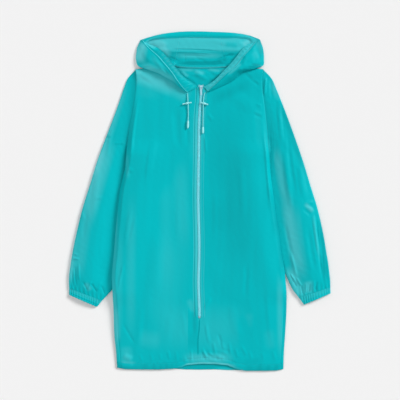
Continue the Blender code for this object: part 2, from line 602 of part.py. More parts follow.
def make_binding(look):
    """The narrow strip that covers the seam between the back and the hood."""
    share, up = np.meshgrid(np.array(CENTRE_SHARES), np.array((0.0, 2.4, 5.4, 7.8, 10.4)), indexing="ij")
    x = -71.0 + 151.0 * share
    edge = np.interp(x, BACK_TOP_X, BACK_TOP_Y) - 3.0
    y = edge - 3.0 + up
    over = below_hood(x, np.maximum(y, edge)) + hood_rise(x, y) + CLOTH + 2.4 * SEAM
    low = np.where(up < 1.0, CLOTH + SEAM, over)
    add_wall("neck_binding", *stacked(x, y, low, CLOTH), look)


CASING_SHARES = (0.0, 0.5, 1.0)
ARC_STEPS = 11


def casing_wing(rows):
    """The casing's points under one wing's opening edge, crown corner first."""
    gx, gy, fx, fy, ex, ey, radius, crest, cx, cy, low = resample(rows, HOOD_ROWS)
    points = []
    for k in range(HOOD_ROWS):
        seam, fold, edge = (np.array(p) for p in ((gx[k], gy[k]), (fx[k], fy[k]), (ex[k], ey[k])))
        towards = (fold - edge) / np.linalg.norm(fold - edge)
        start = edge + towards * min(CASING_TUCK, 0.2 * np.linalg.norm(fold - edge))
        start_z = crest[k] - 2.0 * CLOTH - 2.0 * SEAM - 1.4
        inner = np.array((cx[k], cy[k]))
        line = []
        for s in CASING_SHARES:
            p = start + (inner - start) * s
            line.append((p[0], p[1], start_z + (low[k] - start_z) * s ** 1.3))
        points.append(line)
    return points


def make_casing(look):
    """One strip round the hood's opening: left wing, top edge, right wing."""
    left, right = casing_wing(LEFT_HOOD), casing_wing(RIGHT_HOOD)
    top = []
    for x in np.linspace(-150.0, 148.0, ARC_STEPS):
        out_y = np.interp(x, ARC_X, ARC_Y) - 1.2
        slope = (np.interp(x + 12.0, ARC_X, ARC_Y) - np.interp(x - 12.0, ARC_X, ARC_Y)) / 24.0
        line = []
        for s in CASING_SHARES:
            px, py = x + slope * CASING_WIDTH * s, out_y - CASING_WIDTH * s
            line.append((px, py, below_hood(px, py) + hood_rise(px, py) + CLOTH + 3.5 * SEAM))
        top.append(line)
    grid = np.array(left[::-1] + top + right)
    add_wall("hood_casing", *stacked(grid[..., 0], grid[..., 1], grid[..., 2], CLOTH), look)


# ---------------------------------------------------------------- zip

def zip_rows(low, high):
    """Heights up the coat of the fronts' own rows along the zip, between two ends."""
    y = bent_rows(0.0, np.array(BODY_ROWS, float), HEM_FRONT, FRONT_TOP_X, FRONT_TOP_Y)
    inside = [v for v in y if low + 2.0 < v < high - 2.0]
    return np.array([low] + inside + [high])


def zip_floor(y):
    """Height of the fronts' underside along the zip."""
    return front_under(zip_x(y), y)


def make_tape(side, name, look):
    """One zip tape, under its front's edge, spread round the slider's post at the top."""
    y = np.concatenate([zip_rows(ZIP_END_Y - 5.0, 334.0), (338.0, 341.5, 349.0)])
    inner = 0.5 * SEAM + 2.0 * ease((y - 336.0) / 5.5)
    outer = TAPE_WIDTH - 6.0 * ease((y - 334.0) / 14.0)
    share = np.linspace(0.0, 1.0, 4)
    x = zip_x(y)[:, None] + side * (inner[:, None] + (outer - inner)[:, None] * share)
    y = np.repeat(y[:, None], 4, axis=1)
    low = zip_floor(y) - SEAM - TAPE_THICK
    add_wall(name, *stacked(x, y, low, TAPE_THICK), look)


def make_chain(look):
    """The zip's closed teeth as one rounded strip."""
    y = zip_rows(ZIP_END_Y + 7.4, 340.0)
    share = np.linspace(-1.0, 1.0, 7)
    x = zip_x(y)[:, None] + 0.5 * CHAIN_WIDTH * share
    y = np.repeat(y[:, None], 7, axis=1)
    low = zip_floor(y)
    height = 0.7 + (CHAIN_HEIGHT - 0.7) * np.sqrt(np.maximum(1.0 - share ** 2, 0.0))
    add_wall("zip_chain", np.stack([x, y, low], axis=2), np.stack([x, y, low + height], axis=2), look)


def box(x0, x1, y0, y1, z0, z1, taper=0.0):
    """A box. taper narrows its low-y end by that much on each side."""
    points = [(x0 + taper, y0, z0), (x1 - taper, y0, z0), (x1, y1, z0), (x0, y1, z0),
              (x0 + taper, y0, z1), (x1 - taper, y0, z1), (x1, y1, z1), (x0, y1, z1)]
    return points, [(0, 3, 2, 1), (4, 5, 6, 7), (0, 1, 5, 4), (1, 2, 6, 5), (2, 3, 7, 6), (3, 0, 4, 7)]


def turned(profile, start, end, sides=16):
    """A solid turned about the line from start to end. profile is (share of the length, radius) rows."""
    start, end = np.array(start, float), np.array(end, float)
    axis = (end - start) / np.linalg.norm(end - start)
    across = np.cross(axis, (0.0, 0.0, 1.0))
    across = across / np.linalg.norm(across)
    up = np.cross(across, axis)
    points = [tuple(start + (end - start) * profile[0][0])]
    for share, radius in profile:
        for i in range(sides):
            a = 2.0 * math.pi * (i + 0.5) / sides
            rim = math.cos(a) * across + math.sin(a) * up
            points.append(tuple(start + (end - start) * share + radius * rim))
    points.append(tuple(start + (end - start) * profile[-1][0]))
    faces = [(0, 1 + (i + 1) % sides, 1 + i) for i in range(sides)]
    for k in range(len(profile) - 1):
        for i in range(sides):
            a, b = 1 + k * sides + i, 1 + k * sides + (i + 1) % sides
            faces.append((a, b, b + sides, a + sides))
    last = len(points) - 1
    faces += [(last, last - sides + i, last - sides + (i + 1) % sides) for i in range(sides)]
    return points, faces


def joined(name, solids, holes, look, origin=None):
    """One closed body from overlapping solids, less the holes, its origin moved to the given place."""
    first = add_mesh(name, *solids[0], look)
    used = []
    for number, (points, faces) in enumerate(list(solids[1:]) + list(holes)):
        tool = add_mesh(name + "_tool_%d" % number, points, faces, look)
        step = first.modifiers.new("step", "BOOLEAN")
        step.operation = "UNION" if number < len(solids) - 1 else "DIFFERENCE"
        step.solver = "EXACT"
        step.object = tool
        used.append(tool)
    shape = bpy.data.meshes.new_from_object(first.evaluated_get(bpy.context.evaluated_depsgraph_get()))
    first.modifiers.clear()
    first.data = shape
    for tool in used:
        bpy.data.objects.remove(tool)
    place = (np.array(origin) - (CENTRE[0], CENTRE[1], 0.0)) * MM if origin else np.zeros(3)
    for corner in shape.vertices:
        corner.co = [corner.co[i] - place[i] for i in range(3)]
    first.location = place
    return first


def pin_place():
    """Middle of the pull tab's pin."""
    x = float(zip_x(PIN_Y))
    return x, PIN_Y, float(plate_low()) + PLATE_THICK + PIN_RISE


def plate_low():
    """Height of the underside of the slider's upper plate: just above the chain."""
    return float(zip_floor(SLIDER_LOW_Y)) + CHAIN_HEIGHT + SEAM


def make_slider(look):
    """The slider: two plates joined by a post, and a pin between two lugs for the tab."""
    x, y, z = pin_place()
    low = plate_low()
    tape_low = float(min(zip_floor(SLIDER_LOW_Y), zip_floor(SLIDER_TOP_Y))) - SEAM - TAPE_THICK
    half, taper = 0.5 * SLIDER_WIDTH, 0.5 * (SLIDER_WIDTH - SLIDER_NOSE)
    top = low + PLATE_THICK
    solids = [
        box(x - half, x + half, SLIDER_LOW_Y, SLIDER_TOP_Y, low, top, taper),
        box(x - half, x + half, SLIDER_LOW_Y, SLIDER_TOP_Y, tape_low - SEAM - 1.2, tape_low - SEAM, taper),
        box(x - 1.4, x + 1.4, SLIDER_TOP_Y - 4.2, SLIDER_TOP_Y - 0.4, tape_low - SEAM - 0.6, low + 0.6),
        box(x - 3.9, x - 2.6, y - 2.0, y + 2.0, top - 0.5, z + 1.2),
        box(x + 2.6, x + 3.9, y - 2.0, y + 2.0, top - 0.5, z + 1.2),
        turned(((0.0, PIN_RADIUS), (1.0, PIN_RADIUS)), (x - 3.2, y, z), (x + 3.2, y, z)),
    ]
    joined("zip_slider", solids, [], look)


def make_tab(look):
    """The pull tab: an eye round the slider's pin and a flat grip that lies down over the chain."""
    x, y, z = pin_place()
    tip_y = y - TAB_LENGTH
    resting = float(zip_floor(tip_y)) + CHAIN_HEIGHT + 2.0 * SEAM + 0.5 * TAB_THICK
    slope = math.asin((z - resting) / TAB_LENGTH)
    half, deep = 0.5 * TAB_WIDTH, 0.5 * TAB_THICK
    points, faces = box(-half, half, -TAB_LENGTH, -GRIP_START, -deep, deep, 0.3)
    turned_points = []
    for px, py, pz in points:
        turned_points.append((x + px, y + py * math.cos(slope) + pz * math.sin(slope),
                              z + py * math.sin(slope) + pz * math.cos(slope)))
    eye = turned(((0.0, EYE_RADIUS), (1.0, EYE_RADIUS)), (x - half, y, z), (x + half, y, z), 20)
    bore = turned(((0.0, EYE_BORE), (1.0, EYE_BORE)), (x - half - 1.0, y, z), (x + half + 1.0, y, z), 20)
    joined("pull_tab", [eye, (turned_points, faces)], [bore], look, (x, y, z))


def make_bottom_stop(look):
    """The stop that ends the zip's chain."""
    x, y = float(zip_x(ZIP_END_Y)), ZIP_END_Y
    low = float(zip_floor(y))
    add_mesh("zip_bottom_stop", *box(x - 2.6, x + 2.6, y + 3.8, y + 7.0, low + 0.1, low + 2.0), look)


# ---------------------------------------------------------------- drawcord

def route(rows):
    """A cord's middle line: its table's points with heights measured from the fronts' upper side."""
    x, y, up = columns(rows)
    return np.stack([x, y, front_top(x, y) + up], axis=1)


def make_cord(name, rows, look):
    """One end of the drawcord, as a tube along its route."""
    knots = route(rows)
    places = np.arange(len(knots), dtype=float)
    at = np.linspace(0.0, places[-1], 4 * len(knots))
    smooth = np.stack([read(at, places, knots[:, i]) for i in range(3)], axis=1)
    curve = bpy.data.curves.new(name, "CURVE")
    curve.dimensions = "3D"
    curve.bevel_depth = CORD_RADIUS * MM
    curve.bevel_resolution = 2
    curve.use_fill_caps = True
    line = curve.splines.new("POLY")
    line.points.add(len(smooth) - 1)
    for point, place in zip(line.points, smooth):
        point.co = ((place[0] - CENTRE[0]) * MM, (place[1] - CENTRE[1]) * MM, place[2] * MM, 1.0)
    curve.materials.append(look)
    bpy.context.scene.collection.objects.link(bpy.data.objects.new(name, curve))


def make_stopper(name, ends, rows, look):
    """A cord stopper: a bar with a hub in its middle, which the cord runs through."""
    knots = route(rows)
    x0, y0, x1, y1 = ends
    middle = (0.5 * (x0 + x1), 0.5 * (y0 + y1))
    near = int(np.argmin(np.hypot(knots[:, 0] - middle[0], knots[:, 1] - middle[1])))
    z = float(knots[near, 2])
    hub = 3.5 / math.hypot(x1 - x0, y1 - y0)
    profile = (
        (0.0, 1.2), (0.03, 1.8), (0.08, STOP_RADIUS), (0.45 - hub, STOP_RADIUS), (0.5 - hub, STOP_HUB),
        (0.5 + hub, STOP_HUB), (0.55 + hub, STOP_RADIUS), (0.92, STOP_RADIUS), (0.97, 1.8), (1.0, 1.2),
    )
    bar = turned(profile, (x0, y0, z), (x1, y1, z))
    run = knots[near + 1] - knots[near - 1]
    run = run / np.linalg.norm(run)
    bore = turned(((0.0, STOP_BORE), (1.0, STOP_BORE)), knots[near] - 9.0 * run, knots[near] + 9.0 * run, 20)
    joined(name, [bar], [bore], look)


def make_tip(name, rows, length, look):
    """The drop-shaped tip on a cord's end."""
    knots = route(rows)
    run = knots[-1] - knots[-2]
    run = run / np.linalg.norm(run)
    run[2] = 0.0
    start = knots[-1] + run * 2.0 * SEAM
    profile = (
        (0.0, 1.7), (0.06, 2.3), (0.2, 2.7), (0.55, TIP_RADIUS),
        (0.8, 2.8), (0.92, 2.2), (0.98, 1.3), (1.0, 0.6),
    )
    add_mesh(name, *turned(profile, start, start + run * length), look)


def main():
    """Builds every piece of the coat."""
    for old in list(bpy.data.objects):
        bpy.data.objects.remove(old)
    shell = material("shell_cloth", CLOTH_COLOUR, 0.42)
    tape = material("zip_tape", ZIP_COLOUR, 0.7)
    teeth = material("zip_teeth", ZIP_COLOUR, 0.4)
    metal = material("zip_metal", METAL_COLOUR, 0.3, 0.0)
    cord = material("cord", CORD_COLOUR, 0.8)
    plastic = material("clear_plastic", PLASTIC_COLOUR, 0.25)
    make_back(shell)
    make_front(-1, "front_left", shell)
    make_front(1, "front_right", shell)
    make_sleeve(-1, "sleeve_left", LEFT_SLEEVE, shell)
    make_sleeve(1, "sleeve_right", RIGHT_SLEEVE, shell)
    make_cuff("cuff_left", LEFT_SLEEVE[0], CUFF_END["left"], shell)
    make_cuff("cuff_right", RIGHT_SLEEVE[0], CUFF_END["right"], shell)
    make_hood_side("hood_left", LEFT_HOOD, shell)
    make_hood_side("hood_right", RIGHT_HOOD, shell)
    make_hood_centre(shell)
    make_casing(shell)
    make_binding(shell)
    make_tape(-1, "zip_tape_left", tape)
    make_tape(1, "zip_tape_right", tape)
    make_chain(teeth)
    make_bottom_stop(metal)
    make_slider(metal)
    make_tab(metal)
    make_cord("drawcord_left", LEFT_CORD, cord)
    make_cord("drawcord_right", RIGHT_CORD, cord)
    make_stopper("cord_stopper_left", STOPPERS["left"], LEFT_CORD, plastic)
    make_stopper("cord_stopper_right", STOPPERS["right"], RIGHT_CORD, plastic)
    make_tip("cord_tip_left", LEFT_CORD, TIP_LENGTH["left"], plastic)
    make_tip("cord_tip_right", RIGHT_CORD, TIP_LENGTH["right"], plastic)


main()
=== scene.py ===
"""A hooded raincoat with a front zip, laid flat on its back: cloth panels, hood, zip, cuffs and drawcord.

Sizes in the tables are millimetres in the coat's own frame: +Y from the hem to the hood, +Z up from the
surface it lies on. Left and right are as seen from above with the hood away from the viewer.
"""

import json
import math

import bpy
import numpy as np
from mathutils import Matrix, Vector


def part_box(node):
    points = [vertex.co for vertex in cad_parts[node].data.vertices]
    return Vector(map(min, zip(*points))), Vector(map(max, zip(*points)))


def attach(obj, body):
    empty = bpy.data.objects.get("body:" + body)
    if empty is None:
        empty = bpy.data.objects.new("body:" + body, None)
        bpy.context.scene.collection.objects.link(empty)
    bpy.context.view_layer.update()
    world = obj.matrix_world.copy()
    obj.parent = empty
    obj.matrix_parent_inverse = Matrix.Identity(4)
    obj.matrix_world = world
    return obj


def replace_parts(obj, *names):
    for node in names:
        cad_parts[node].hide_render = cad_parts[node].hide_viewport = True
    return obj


bl_info = {
    "name": "Hooded Raincoat",
    "version": (1, 0, 0),
    "blender": (4, 5, 0),
    "location": "3D View > Sidebar > Raincoat",
    "description": "Builds a nylon raincoat laid flat, panel by panel, round its packed solids",
    "category": "Add Mesh",
}

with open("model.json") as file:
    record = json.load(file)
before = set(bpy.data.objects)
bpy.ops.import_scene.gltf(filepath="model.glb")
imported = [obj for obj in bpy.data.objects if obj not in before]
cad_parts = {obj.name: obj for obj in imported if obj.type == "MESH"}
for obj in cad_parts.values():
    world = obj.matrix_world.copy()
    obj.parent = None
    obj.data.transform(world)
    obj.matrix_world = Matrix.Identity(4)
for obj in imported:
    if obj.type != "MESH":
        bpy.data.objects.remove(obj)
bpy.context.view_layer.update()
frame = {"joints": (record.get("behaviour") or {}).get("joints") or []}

MM = 0.001
CENTRE = (-0.63, -0.33)   # middle of the whole coat in the tables below

# Cloth and seams
CLOTH = 1.0
SEAM = 0.3
UNDERARM_Y = 98.0
SHOULDER_TOP_Y = 395.0
TOP_ZONE_Y = 235.0
HEM_ZONE = 120.0
HEM_BAND = 18.0           # from the hem's edge to its stitch line
ZIP_END_Y = -353.0
BACK_LIFT = 5.2
SHOULDER_LIFT = 1.6
ARMHOLE_RISE = 4.9
SHOULDER_ROLL = 24.0
SIDE_ROLL = 12.0
SLEEVE_RINGS = 225
SLEEVE_ROUND = (92, 46)     # points across the top of a ring, and below it
CUFF_RINGS = 16
CUFF_ROUND = (96, 56)
LAP_TOP_Y = 368.0          # the lap over the sleeves fades out above this height
FRONT_LAP = 2.0
TEETH_GAP = 4.1
FOLD_GAIN = 2.2            # small folds against their tables

# The body's side seams and armholes: height up the coat, left edge, right edge
BODY_SIDES = (
    (-516, -249, 250.5), (-455, -252.5, 252.5), (-400, -257.6, 256), (-335, -259.5, 259.8), (-300, -261.3, 260.5),
    (-267, -263, 259.5), (-245, -264.5, 257.5), (-209, -264, 254.5), (-164, -259, 246), (-89, -253, 236.5),
    (-29, -247, 227), (31, -240, 219), (76, -230, 213), (106, -223, 211), (169, -216, 206), (211, -211, 202),
    (283, -198, 193), (346, -190, 185), (368, -189, 185), (395, -194, 190.5),
)
# Across the coat, the front's hem, the back's hem
HEM_LINE = (
    (-256, -500, -500), (-226, -505.4, -504.4), (-193, -506.3, -505.3), (-133, -506.7, -505.7),
    (-82, -504.5, -504.2), (-56, -500, -505.8), (-40, -493, -506.8), (2, -489.5, -507.2), (46, -490, -506.5),
    (84, -494, -508.6), (108, -504.5, -508.6), (137, -510.4, -509.2), (197, -510.5, -509.5), (230, -509.7, -508.6),
    (260, -504, -503),
)
# Top edges: across the coat, height
FRONT_TOP = (
    (-194, 395), (-141, 402), (-85, 409), (-80, 391), (-67, 370), (-46, 355), (-25, 346), (-8, 342), (0, 342),
    (11, 342), (23, 343.5), (44, 352.5), (68, 367.5), (85, 389), (95, 408), (143, 402), (190, 395.5),
)
BACK_TOP = (
    (-194, 395), (-141, 402), (-85, 409), (-40, 405), (0, 404), (45, 405), (95, 408), (143, 402), (190, 395.5),
)
# Height up the coat, the zip's middle across it
ZIP_LINE = (
    (-516, -5), (-455, -6), (-410, -5.5), (-389, -3), (-353, -1.7), (-239, -4.4), (-149, -2.2), (1, -5.2),
    (151, -3.4), (257, -1.4), (317, 3.2), (350, 3.5),
)
# Height up the coat, room between the back and the fronts
CROWN = (
    (-516, 4.8), (-440, 6.8), (-300, 9), (0, 10), (200, 8.5), (300, 6.2), (345, 5), (409, 4.4),
)
# Height up the coat, how far a sleeve is tucked under the body
TUCK = (
    (-290, 3), (-262, 9), (-230, 23), (-194, 34), (-140, 46), (-70, 57), (0, 61), (50, 58), (80, 52), (110, 47),
)
# Sleeves, cuff seam first: outer edge x and y, inner edge x and y, bow towards the armhole's line, height
# of the outer edge, place and height of the crest, place and height of the groove at the body, height of
# the inner edge. Places are shares of the way from the outer edge to the inner one.
LEFT_SLEEVE = (
    (-393, -261.5, -294, -299.5, 0, 6, 0.5, 9, 0.92, 7, 6),
    (-393.8, -243, -277, -281.6, 0, 6.5, 0.48, 13, 0.94, 7, 5),
    (-392.5, -217.7, -261.5, -262.7, 0, 7, 0.46, 16, 0.92, 5.5, 3.2),
    (-387.8, -184.7, -247.3, -229.7, 0, 7, 0.42, 17, 0.86, 4.2, 2.6),
    (-381.8, -148.7, -233.8, -193.7, 0, 7, 0.4, 17, 0.8, 4.2, 2.5),
    (-370.4, -94.7, -217.3, -139.7, 0, 7, 0.36, 16.5, 0.74, 4.2, 2.5),
    (-352.8, -22.7, -200.8, -70.7, 0, 7, 0.33, 16, 0.67, 4.2, 2.5),
    (-330.2, 49.3, -188.8, -1.7, 0, 7, 0.31, 15, 0.63, 4.2, 2.5),
    (-308.2, 121.3, -187, 49.3, 0, 6.5, 0.31, 13.5, 0.64, 4.2, 2.5),
    (-282.8, 190.3, -197, 73.3, 0.1, 6, 0.34, 12, 0.72, 4.2, 2.7),
    (-252.3, 271.3, -212, 87.4, 0.3, 5, 0.38, 9.5, 0.82, 4.6, 3),
    (-228.8, 340.3, -220.4, 93, 0.6, 4, 0.34, 7.6, 0.88, 4.4, 3.4),
    (-216.8, 369.3, -222.2, 96.2, 0.85, 3.2, 0.28, 6.6, 0.84, 4.3, 3.4),
    (-195.4, 393.6, -223.6, 98.8, 1, 2.5, 0.22, 5.6, 0.8, 4.3, 3.4),
)
RIGHT_SLEEVE = (
    (391.8, -259.1, 296.2, -289.1, 0, 6, 0.5, 9, 0.92, 7, 6),
    (391.4, -238.7, 279.5, -267.5, 0, 6.5, 0.46, 13, 0.94, 7, 5.5),
    (388.6, -214.7, 267.2, -243.2, 0, 7, 0.44, 16, 0.94, 6, 4),
    (385, -184.7, 255.5, -216.2, 0, 7, 0.4, 17, 0.93, 4.4, 2.8),
    (379, -148.7, 240.2, -184.7, 0, 7, 0.38, 17, 0.9, 4.4, 2.6),
    (369.8, -94.7, 214.7, -135.2, 0, 7, 0.36, 16.5, 0.8, 4.5, 2.6),
    (353.2, -22.7, 192.2, -64.7, 0, 7, 0.33, 16, 0.74, 4.5, 2.6),
    (331, 49.3, 180.2, 4.3, 0, 7, 0.31, 15, 0.72, 4.5, 2.6),
    (309.2, 121.3, 176.5, 52.3, 0, 6.5, 0.31, 13.5, 0.7, 4.5, 2.6),
    (283.4, 196.3, 187, 74.8, 0.1, 6, 0.34, 12, 0.72, 4.6, 2.8),
    (256, 271.3, 199.7, 88.3, 0.3, 5, 0.38, 9.5, 0.82, 4.6, 3),
    (228.6, 340.3, 207.8, 94.3, 0.6, 4, 0.34, 7.6, 0.88, 4.4, 3.4),
    (215.6, 368.5, 210.3, 97.2, 0.85, 3.2, 0.28, 6.6, 0.84, 4.3, 3.4),
    (192, 394.4, 211.6, 98.8, 1, 2.5, 0.22, 5.6, 0.8, 4.3, 3.4),
)
# Cuff ends: outer corner x and y, inner corner x and y
CUFF_END = {"left": (-393.5, -281.5, -309.5, -318.5), "right": (392.5, -277.5, 312.5, -311.5)}
CUFF_EDGE = 5.0
CUFF_HEIGHT = 9.0
CUFF_WALL = 1.1
CUFF_GAP = 0.4
UPPER_SIDE = slice(10, 80)     # columns that face up in every ring of a sleeve or cuff
# Hood sides, crown corner first: seam to the middle panel or neckline x and y, outer fold x and y, opening
# edge x and y, radius of the fold, height of the opening edge, inner edge of the casing x, y and height
LEFT_HOOD = (
    (-56.8, 508.9, -178.6, 482.6, -171, 478.4, 2.4, 7, -155.9, 473.6, 1.6),
    (-61.3, 487.3, -187.6, 465.6, -157.3, 462.8, 4.5, 13.5, -145.4, 468.8, 5),
    (-65.8, 464.8, -191.3, 445.3, -139.3, 446.8, 6, 18.5, -126.8, 459.8, 7.5),
    (-70.3, 443.8, -192, 424.3, -122.5, 431.5, 7, 22, -107, 443, 9.5),
    (-74.8, 424.3, -184.6, 404.3, -107.8, 414.4, 7, 24, -90.8, 422.6, 11),
    (-79.9, 407.8, -155.8, 393.3, -92.5, 396.8, 6, 25, -72.8, 401.6, 12),
    (-77.5, 389.8, -124.3, 382.3, -78.6, 378.7, 5, 24, -58.4, 382.4, 11.5),
    (-69.4, 373.9, -98.3, 368.3, -67.3, 361.2, 4, 22, -44, 369.2, 10.5),
    (-55.3, 359.8, -77.5, 355.7, -57.8, 348.3, 3.2, 19, -29.6, 359, 9.8),
    (-40.8, 347.8, -58.6, 338.6, -46.5, 335.1, 2.6, 16, -15.8, 350.6, 9),
    (-33.3, 335.5, -41.8, 326, -36, 325.5, 2.2, 13, -7.4, 342.2, 8.2),
)
RIGHT_HOOD = (
    (57.2, 508, 180.4, 483.8, 173.2, 478.6, 2.4, 7, 153.2, 474.2, 1.6),
    (61.7, 487.3, 187.6, 467, 160.7, 466.9, 4.5, 13.5, 143.6, 470.9, 5),
    (66.2, 464.8, 191.3, 447, 144.5, 450.1, 6, 18.5, 131.6, 461, 7.5),
    (72.2, 443.8, 192.2, 425.8, 128.9, 432.1, 7, 22, 117.5, 443.6, 9.5),
    (79.1, 424.3, 189.6, 406.6, 115.7, 414.1, 7, 24, 103.1, 424.4, 11),
    (88.1, 407.8, 163.7, 395.8, 99.5, 397.3, 6, 25, 88.7, 407.9, 13),
    (85.7, 389.8, 127.2, 384.9, 81.5, 383.2, 5, 24, 71.9, 390.2, 14),
    (72.2, 373.7, 106.2, 366.9, 64.7, 368.5, 4, 22, 55.1, 372.8, 13.5),
    (52.7, 358.7, 85.2, 353.6, 47.9, 352.3, 3.2, 19, 37.1, 356.6, 12),
    (33.2, 348, 58.2, 341, 33.5, 339.7, 2.6, 16, 21.5, 347.6, 10.5),
    (20.2, 339.1, 30.5, 328.3, 22.7, 329, 2.2, 13, 11.3, 343.4, 8.6),
)
# Top edge of the hood: across the coat, height
HOOD_ARC = (
    (-186, 480), (-180, 483.6), (-160, 490.9), (-136, 497.2), (-112, 502.2), (-88, 505.8), (-64, 508.4),
    (-40, 509.8), (8, 509.8), (32, 508.7), (56, 508), (80, 506.8), (104, 505), (128, 501.8), (152, 497),
    (176, 487.8), (186, 481.5),
)
# Height up the coat, rise of the hood's inner layer off what it lies on
HOOD_FLOOR = (
    (398, 0), (412, 0.3), (424, 1), (438, 3.4), (446, 5.6), (453, 7.4), (462, 7.4), (482, 7), (496, 5), (508, 1.2),
    (514, 0.4),
)
CROWN_ZONE = 0.2
HOOD_ROWS = 15
CROWN_ROWS = 11
CASING_MIDDLE = HOOD_ROWS + CROWN_ROWS // 2     # the casing's row at the crown
WING_FROM = 44             # the first of a hood side's columns on its wing
CASING_WIDTH = 17.0
FOLD_SHARE = 0.5           # the hood's outer folds against their tables
CASING_TUCK = 2.5
CASING_STITCH = 0.86       # place of the casing's inner stitches, as a share of its width
NECK_TURN = 3.0            # from the back's neck edge down to the hood's seam
BINDING_X = (-71.0, 80.0)
BINDING_WIDTH = 10.4
BINDING_STITCHES = (2.2, 8.6)
PLACKET_STITCH = 14.6      # from the zip's middle to the stitches beside it
# Drawcord routes: x, y and height of the cord's middle above the front
LEFT_CORD = (
    (-37.3, 322.6, 2.4), (-36.9, 314, 2.1), (-36.2, 302, 3.3), (-35.4, 292, 4), (-35.2, 282, 3.3), (-35, 266, 1.9),
    (-34.9, 252, 2.5), (-35.3, 241.5, 3.7),
)
RIGHT_CORD = (
    (15, 325, 2.4), (12.4, 317, 2.1), (10.8, 304, 3.3), (10.1, 292, 4), (9.8, 282, 3.3), (9.3, 262, 1.9),
    (9, 240, 2.4), (9, 222.5, 3.7),
)
STOPPERS = {"left": (-52.4, 290.0, -24.8, 295.0), "right": (1.2, 295.0, 24.6, 288.6)}
TIP_LENGTH = {"left": 24.0, "right": 20.0}
# Along a tip, as a share of its length; its radius
TIP_PROFILE = ((0, 1.7), (0.06, 2.3), (0.2, 2.7), (0.55, 3), (0.8, 2.8), (0.92, 2.2), (0.98, 1.3), (1, 0.5))

# Creases: start x and y, end x and y, half-width, height and, where it isn't straight, sideways bow. Below
# zero they are troughs.
BROAD_FOLDS = (
    (-205, 330, -222, -470, 165, 7), (160, 330, 168, -470, 150, 6.5), (55, 250, 60, -330, 80, -2),
)
FRONT_CREASES = (
    (-171, 369, -105, 327, 26, 0.25), (-186, 385, -138, 358, 10, 0.5), (-184, 370, -134, 343, 9, -0.3),
    (-189, 318, -210, 123, 12, 1.8, 3), (-126, 198, -156, 63, 15, 0.7, 4), (-144, 198, -162, 33, 7, 0.35, 2),
    (-219, 99, -198, 90, 5.5, 0.45), (-216, 84, -200, 80, 5.5, -0.5), (-201, -12, -225, -147, 9, 0.5, 3),
    (-189, -42, -207, -117, 6, 0.35), (-225, -183, -243, -267, 6, 0.9, 2), (-75, 288, -66, 153, 16, -0.8),
    (-42, 273, -36, 153, 9, -0.5), (-120, -72, -135, -297, 30, 0.8, 6), (-234, -363, -195, -432, 6, -0.7),
    (-24, -290, -19, -417, 14, -0.7), (-52, -330, -42, -411, 9, 0.4), (-232, -462, -202, -478, 12, 1),
    (84, 333, 174, 273, 28, 0.7, 5), (129, 387, 186, 339, 8, -0.6), (150, 369, 183, 351, 5.5, 0.5),
    (160, 268, 186, 260, 5.5, 0.7), (162, 258, 188, 250, 5.5, -0.6), (168, 291, 187, 284, 5.5, 0.6),
    (192, 213, 213, -42, 11, 1.8, -3), (22, 262, 40, 240, 8, 0.6), (14, 198, 19, 138, 6, 0.6),
    (141, -177, 135, -297, 10, -0.6), (9, -327, 36, -288, 6, 0.8), (18, -363, 30, -432, 7, 0.8, 2),
    (54, -395, 66, -440, 6, -0.8), (96, -300, 120, -420, 18, 0.45, 5), (200, -250, 216, -440, 10, 0.4, 3),
    (-90, -330, -110, -450, 16, 0.4, -4), (-170, -300, -182, -440, 12, 0.45, 3), (-60, 60, -66, -120, 10, 0.2, 2),
    (120, 120, 128, -60, 14, 0.35, -3), (46, 40, 44, -140, 9, 0.25),
)
# Tones, as creases' rows with a depth of tone for a height: above zero the cloth is paler and below zero it is deeper.
# Most rows are painted light and painted shade on the fronts: painted light that fills the shadows under the hood's
# wings, painted highlights along the hem, and painted shade along the body's right edge, which faces the lamp, and
# below the right wing. A few rows stand for thin cloth lifting off the cloth below and lying close on it.
BROAD_PAINTED_SHADING = (
    (75, 400, 76, -330, 115, -0.5), (-100, 300, -150, 0, 80, -0.2), (-70, -80, -120, -400, 70, 0.15),
    (-215, 386, -70, 334, 36, 1.4, -4), (-110, 350, -26, 306, 30, 0.7, -2), (-208, 392, -170, 384, 12, 0.9),
    (130, -330, 160, -480, 40, -0.2), (-232, -462, -200, -476, 18, 0.35), (-6, 300, -12, 100, 30, 0.2),
    (228, 30, 254, -250, 17, -1.6), (260, -250, 254, -506, 10, -1.3), (238, -200, 242, -480, 13, 0.6),
    (196, 330, 222, 20, 9, -1.9, -2), (-222, 150, -214, 60, 9, 0.4), (-248, 0, -262, -270, 9, 0.6),
    (-222, -430, -220, -490, 26, 0.4), (-244, -488, -188, -492, 13, 1), (36, -494, 116, -496, 10, 0.9),
    (-207, 338, -210, 276, 10, -0.5), (-60, -470, 110, -472, 22, 0.9, 2), (120, -484, 190, -474, 14, -0.5, 3),
    (30, 296, 160, 352, 24, -0.8, -5), (-252, -310, -246, -430, 12, 0.7), (212, 60, 232, -120, 18, -0.8),
    (196, 345, 216, 60, 10, -1.2, -2), (30, -410, 90, -470, 30, 0.15), (-262, -200, -250, -500, 12, 0.9),
    (-8, 330, -8, -350, 14, 0.75), (-150, 380, -160, 300, 50, 0.15), (-204, 40, -208, -440, 20, 0.3),
    (-240, -60, -244, -440, 16, 0.25), (168, 300, 174, 140, 20, 0.1), (-160, -380, 160, -380, 90, 0.25),
    (-190, -410, -110, -420, 36, 0.3), (204, -380, 216, -450, 24, 0.2), (-100, 120, -100, -300, 30, 0.15),
    (-60, 140, -50, -160, 34, 0.25), (60, -60, 70, -260, 34, 0.3), (-34, -290, -18, -340, 14, 0.5),
    (146, -330, 150, -390, 20, 0.25),
)
